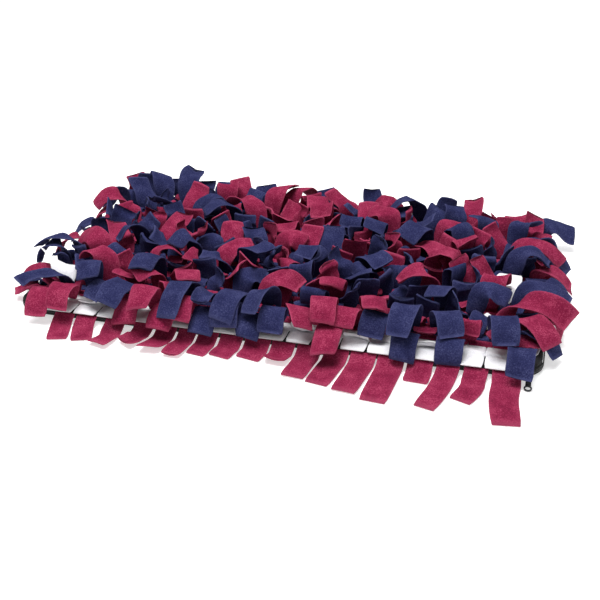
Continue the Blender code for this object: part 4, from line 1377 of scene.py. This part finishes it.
settled_pile = Pile()
add_ground(settled_pile)
for name, shapes in cloth.items():
    for shape in shapes:
        settled_pile.add(name, shape[0], faces_of(shape))
for fill in (tie_rows, fill_furrows):
    for name, added in fill(settled_pile, chance).items():
        layout[name] += [strip for strip, _ in added]
        cloth[name] += [shape for _, shape in added]
    print("strips with those:", sum(len(shapes) for shapes in cloth.values()))

# %% [markdown]
# ### The pieces
# All strips of one backing become one mesh, which replaces its solid. Each is cloth
# cut from a roll; its widest strip and its flat size, the strips laid end to end, are
# worked out.

# %% Meshes of strips


def add_mesh(name, vertices, polygons, material, edge=None):
    """A smooth shaded mesh object at the origin, its vertices given in millimetres."""
    mesh = bpy.data.meshes.new(name)
    mesh.from_pydata((np.asarray(vertices) * MM).tolist(), [], polygons)
    mesh.materials.append(material)
    mesh.polygons.foreach_set("use_smooth", np.ones(len(mesh.polygons), bool))
    values = np.zeros(len(mesh.vertices)) if edge is None else np.asarray(edge)
    mesh.attributes.new("cut_edge", "FLOAT", "POINT").data.foreach_set("value", values)
    obj = bpy.data.objects.new(name, mesh)
    bpy.context.scene.collection.objects.link(obj)
    return obj


def cut_area(strip):
    """A strip's flat area in square metres: its spans times their middle widths."""
    route, widths = strip[:2]
    spans = np.linalg.norm(np.diff(route, axis=0), axis=1)
    return float((spans * (widths[1:] + widths[:-1]) / 2).sum()) * MM * MM


def finish_piece(piece, slot, *nodes):
    """Ride the root and stand for the nodes named. The slot is not used."""
    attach(piece, "root")
    if nodes:
        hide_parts(*nodes)


pieces = []
for name, shapes in cloth.items():
    colour = dyes[name]
    vertices, polygons, edge = joined(shapes)
    piece = add_mesh(f"{name}_cloth", vertices, polygons, PAINT[colour], edge)
    finish_piece(piece, f"{colour}_fleece", name)
    wide = max(np.max(strip[1]) for strip in layout[name]) * MM
    area = sum(cut_area(strip) for strip in layout[name])
    pieces.append(piece)
face_count = sum(len(piece.data.polygons) for piece in pieces)
print("pieces of strips:", len(pieces), "faces:", face_count)

# %% [markdown]
# ## The base
# The case under the fleece is thin black polyester cloth, sewn shut but for the
# zip. Seen from the side it is a low wall with rolled edges. A box with its edges
# bevelled comes close, but its wall would be flat and even. So a profile of the wall
# is carried round the outline of the mat: each row of the table says how far the
# wall lies inside the outline, and how high, and a slight ripple makes it cloth.

# %% The outline and what is carried round it
# how often each ripple of the wall comes round
WALL_WAVES = (23, 41, 67)


def even_outline(length, width, radius, count, middle_y=0.0):
    """Evenly spaced points round an oblong with round corners, and the unit
    vectors that point out of it: the step between a point's neighbours, turned by
    a quarter and divided by its length."""
    points = rounded_outline(length, width, radius, 24)
    closed = np.vstack([points, points[:1]])
    run = np.concatenate([[0.0], np.cumsum(np.linalg.norm(np.diff(closed, axis=0), axis=1))])
    where = np.linspace(0.0, run[-1], count, endpoint=False)
    even = np.stack([np.interp(where, run, closed[:, k]) for k in (0, 1)], 1)
    ahead = np.roll(even, -1, 0) - np.roll(even, 1, 0)
    ahead /= np.linalg.norm(ahead, axis=1)[:, None]
    return even + (0.0, middle_y), np.stack([ahead[:, 1], -ahead[:, 0]], 1)


def mirrored(lower, total, *between):
    """A profile from its lower part: the upper part is the same upside down, so that
    heights that face each other add up to the total."""
    return (*lower, *between, *((inset, total - height) for inset, height in lower[::-1]))


def carried_round(outline, outward, profile, closed_profile=False, ripple=0.0):
    """A surface whose point is outline - outward * inset, at the profile's height.
    An open profile ends in a cap at each end, so that the surface is closed."""
    inset, height = np.asarray(profile, float).T
    count, rows = len(outline), len(profile)
    turn = np.linspace(0.0, 2 * np.pi, count, endpoint=False)[:, None]
    wave = ripple * sum(np.sin(times * turn + shift) for shift, times in enumerate(WALL_WAVES))
    level = (height - height.min()) / max(np.ptp(height), 1e-6)
    flat = outline[:, None] - outward[:, None] * (inset + wave * np.sin(np.pi * level))[..., None]
    points = np.concatenate([flat, np.broadcast_to(height[:, None], (count, rows, 1))], 2)
    ring = np.arange(count)[:, None]
    ahead = (ring + 1) % count
    step = np.arange(rows if closed_profile else rows - 1)
    beside = (step + 1) % rows
    quads = np.stack(
        [ring * rows + step, ahead * rows + step, ahead * rows + beside, ring * rows + beside], -1
    ).reshape(-1, 4)
    polygons = quads.tolist()
    if not closed_profile:
        polygons.append((ring[::-1, 0] * rows).tolist())
        polygons.append((ring[:, 0] * rows + rows - 1).tolist())
    return points.reshape(-1, 3), polygons


print("turns of the wall's ripples:", WALL_WAVES)

# %% [markdown]
# ### Woven polyester, zip tape and coil
# The case is a plain weave of matte black polyester yarn. It scatters light, and only
# a raking lamp shows the weave. Its finish is two crossed waves as fine as the yarn,
# 0.6 mm, drawn at 1 mm so that they show. The zip tape is knitted of the same yarn.
# The coil is moulded nylon, smooth enough for a soft gleam.

# %% Black cloth
YARN = 0.0010
# a wave of scale 1 repeats every 0.314 m
WAVE_SCALE = 0.314
YARN_DEPTH = 0.0003


def woven(name, colour, roughness, spacing, depth):
    """Matte black weave: two sets of waves, one along each axis of the floor."""
    material = new_material(name, colour, roughness, Sheen_Weight=0.12, Specular_IOR_Level=0.25)
    position = {"Vector": (add_node(material, "ShaderNodeTexCoord"), "Object")}
    wave = {"wave_type": "BANDS", "Scale": WAVE_SCALE / spacing, "Distortion": 1.5}
    warp = add_node(material, "ShaderNodeTexWave", {**wave, "bands_direction": "X"}, position)
    weft = add_node(material, "ShaderNodeTexWave", {**wave, "bands_direction": "Y"}, position)
    both = {0: (warp, "Fac"), 1: (weft, "Fac")}
    crossed = add_node(material, "ShaderNodeMath", {"operation": "MULTIPLY"}, both)
    raised = {"Strength": 0.5, "Distance": depth}
    bump = add_node(material, "ShaderNodeBump", raised, {"Height": (crossed, "Value")})
    plug(material, bump, "Normal", "Normal")
    return material


black_cloth = woven("black_woven_polyester", "#17171a", 0.82, YARN, YARN_DEPTH)
tape_cloth = woven("black_knitted_tape", "#131315", 0.75, YARN, YARN_DEPTH)
coil_nylon = new_material("black_nylon_coil", "#1b1b1e", 0.42)
print("black finishes:", black_cloth.name, tape_cloth.name, coil_nylon.name)

# %% The case
CASE_WALL = (
    (40.0, 0.0),
    (3.0, 0.0),
    (1.0, 0.5),
    (0.1, 1.8),
    (0.3, 4.5),
    (0.3, 7.5),
    (0.1, 10.2),
    (1.0, 11.5),
    (3.0, 12.0),
    (9.0, 12.1),
    (40.0, 12.1),
)


OUTLINE_POINTS = 320
outline, outward = even_outline(PAD_LENGTH, PAD_WIDTH, CORNER_RADIUS, OUTLINE_POINTS)
case = add_mesh("base_case", *carried_round(outline, outward, CASE_WALL, ripple=0.12), black_cloth)
finish_piece(case, "black_cloth", "base_pad")
print("case faces:", len(case.data.polygons))

# %% [markdown]
# ### The zip
# Two tapes meet at a nylon coil that runs all the way round. The tape is a closed
# profile carried round the outline, with a channel for the coil. The coil could be a
# spiral, but only the backs of its turns show, a millimetre and a half apart, so it
# is one small six-sided tooth repeated along the channel.

# %% Zip tape and coil
TAPE = mirrored(((-0.5, 2.6), (-1.5, 2.6), (-1.7, 4.4), (-0.9, 4.6)), 12.0)
TOOTH_PITCH = 1.6
TOOTH = (0.5, 0.65, 1.25)
TOOTH_TAPER = 0.75
COIL_OUT = 1.35
COIL_HEIGHT = 6.0


def repeated_teeth(count, outline_size, size, height):
    """One eight-cornered tooth at every step of the outline. A corner lies at
    place + side * size * (-1 or 1) + out * size * (-1 or 1), and the outer ones are
    drawn in by the taper."""
    places, out = even_outline(*outline_size, count)
    side = np.stack([out[:, 1], -out[:, 0]], 1)
    corner = np.array(list(product((-1, 1), repeat=3)), float)
    corner[:, :2] *= np.where(corner[:, 1:2] > 0, TOOTH_TAPER, 1.0)
    flat = (
        places[:, None]
        + side[:, None] * corner[None, :, :1] * size[0]
        + out[:, None] * corner[None, :, 1:2] * size[1]
    )
    tall = np.broadcast_to(height + corner[:, 2] * size[2], (count, 8))[..., None]
    points = np.concatenate([flat, tall], 2).reshape(-1, 3)
    cube = np.array(
        [(0, 1, 3, 2), (4, 6, 7, 5), (0, 4, 5, 1), (2, 3, 7, 6), (0, 2, 6, 4), (1, 5, 7, 3)]
    )
    return points, (8 * np.arange(count)[:, None, None] + cube).reshape(-1, 4).tolist()


tape_shape = carried_round(outline, outward, TAPE, closed_profile=True)
tape = add_mesh("zip_tape", *tape_shape, tape_cloth)
finish_piece(tape, "zip_tape", "zip_band")
coil_line = (PAD_LENGTH + 2 * COIL_OUT, PAD_WIDTH + 2 * COIL_OUT, CORNER_RADIUS + COIL_OUT)
rim_length = 2 * (PAD_LENGTH + PAD_WIDTH - 4 * CORNER_RADIUS) + 2 * np.pi * CORNER_RADIUS
teeth = int(rim_length / TOOTH_PITCH)
coil = add_mesh("zip_coil", *repeated_teeth(teeth, coil_line, TOOTH, COIL_HEIGHT), coil_nylon)
finish_piece(coil, "zip_tape")
print("zip teeth:", teeth)

# %% [markdown]
# ### Slider and puller
# The slider and its puller are die-cast zinc under black enamel, worn at the ring
# where fingers hold it. Their solids have the right shape, so they only get their
# enamel.

# %% Black enamel
# worn specks are about a millimetre across
SPECK = 1 / 900
WEAR = {"From Min": 0.4, "From Max": 0.75, "To Min": 0.30, "To Max": 0.55}
enamel = new_material("black_enamelled_zinc", "#17171a", 0.35, Metallic=0.0, Coat_Weight=0.3)
on_enamel = {"Vector": (add_node(enamel, "ShaderNodeTexCoord"), "Object")}
specks = add_node(enamel, "ShaderNodeTexNoise", {"Scale": 1 / SPECK, "Detail": 2.0}, on_enamel)
wear = add_node(enamel, "ShaderNodeMapRange", WEAR, {"Value": (specks, "Fac")})
plug(enamel, wear, "Result", "Roughness")
for name in ("zip_slider", "zip_puller"):
    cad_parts[name].data.materials.clear()
    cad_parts[name].data.materials.append(enamel)
    print(name, "in", enamel.name)

# %% [markdown]
# ## The white sheet
# The sheet that carries the knots is white fleece, seen at the rim and in slivers
# between the strips. A flat plane would do where it is hidden, but its cut edge
# shows, so a rounded profile is carried round its outline. Along the front it is
# slit into tabs, which are strips like all the others.

# %% The sheet and its front tabs
SHEET_EDGE = mirrored(((30.0, 12.4), (0.9, 12.4), (0.2, 12.8)), 26.7, (0.0, 13.3))
SLITS = (-231.0, -201.0, -171.0, 29.0, 59.0, 91.0, 121.2, 152.0, 173.0, 203.0, 219.0, 249.0)
SLIT_WIDTH = 1.2
SLIT_DEPTH = 26.0
SHEET_POINTS = 280
SHEET_FRONT = FRONT_EDGE + SLIT_DEPTH - 3.0
LIP_BACK = FRONT_EDGE + SLIT_DEPTH
LIP_DROP = 0.5
sheet_length = PAD_LENGTH - 2 * CLOTH_SIDE_INSET
sheet_back = PAD_WIDTH / 2 - CLOTH_SIDE_INSET
sheet_outline = even_outline(
    sheet_length,
    sheet_back - SHEET_FRONT,
    CORNER_RADIUS,
    SHEET_POINTS,
    (sheet_back + SHEET_FRONT) / 2,
)
sheet_shape = carried_round(*sheet_outline, SHEET_EDGE)
front_half = sheet_length / 2 - CORNER_RADIUS
borders = np.array([-front_half, *SLITS, front_half])
lips = []
for left, right in zip(borders[:-1], borders[1:]):
    x, z = (left + right) / 2, (CLOTH_BOTTOM + CLOTH_TOP) / 2
    route = np.array([(x, y, z) for y in np.linspace(LIP_BACK, FRONT_EDGE, 4)])
    route[-1, 2] -= LIP_DROP
    wide = right - left - SLIT_WIDTH
    lips.append(cloth_strip((route, np.full(4, wide), 0, FLEECE, False), STRAIGHT, 0.0, steps=5))
lip_points, lip_polygons, lip_edge = joined(lips)
sheet_count = len(sheet_shape[0])
base_sheet = add_mesh(
    "base_sheet",
    np.vstack([sheet_shape[0], lip_points]),
    sheet_shape[1] + [[corner + sheet_count for corner in face] for face in lip_polygons],
    white_fleece,
    np.concatenate([np.zeros(sheet_count), lip_edge]),
)
finish_piece(base_sheet, "white_fleece", "base_cloth")
print("sheet faces:", len(base_sheet.data.polygons))

# %% [markdown]
# ## The size of the dressed mat
# The cloth has to stay inside the box of the solids, but for the little that fabric
# may stand proud. The box of the solids and the box of the dressed mat are both
# worked out.

# %% Both boxes
boxes = {"cad": cad_box, "visual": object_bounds()}
{k: [[float(c) for c in corner] for corner in v] for k, v in boxes.items()}
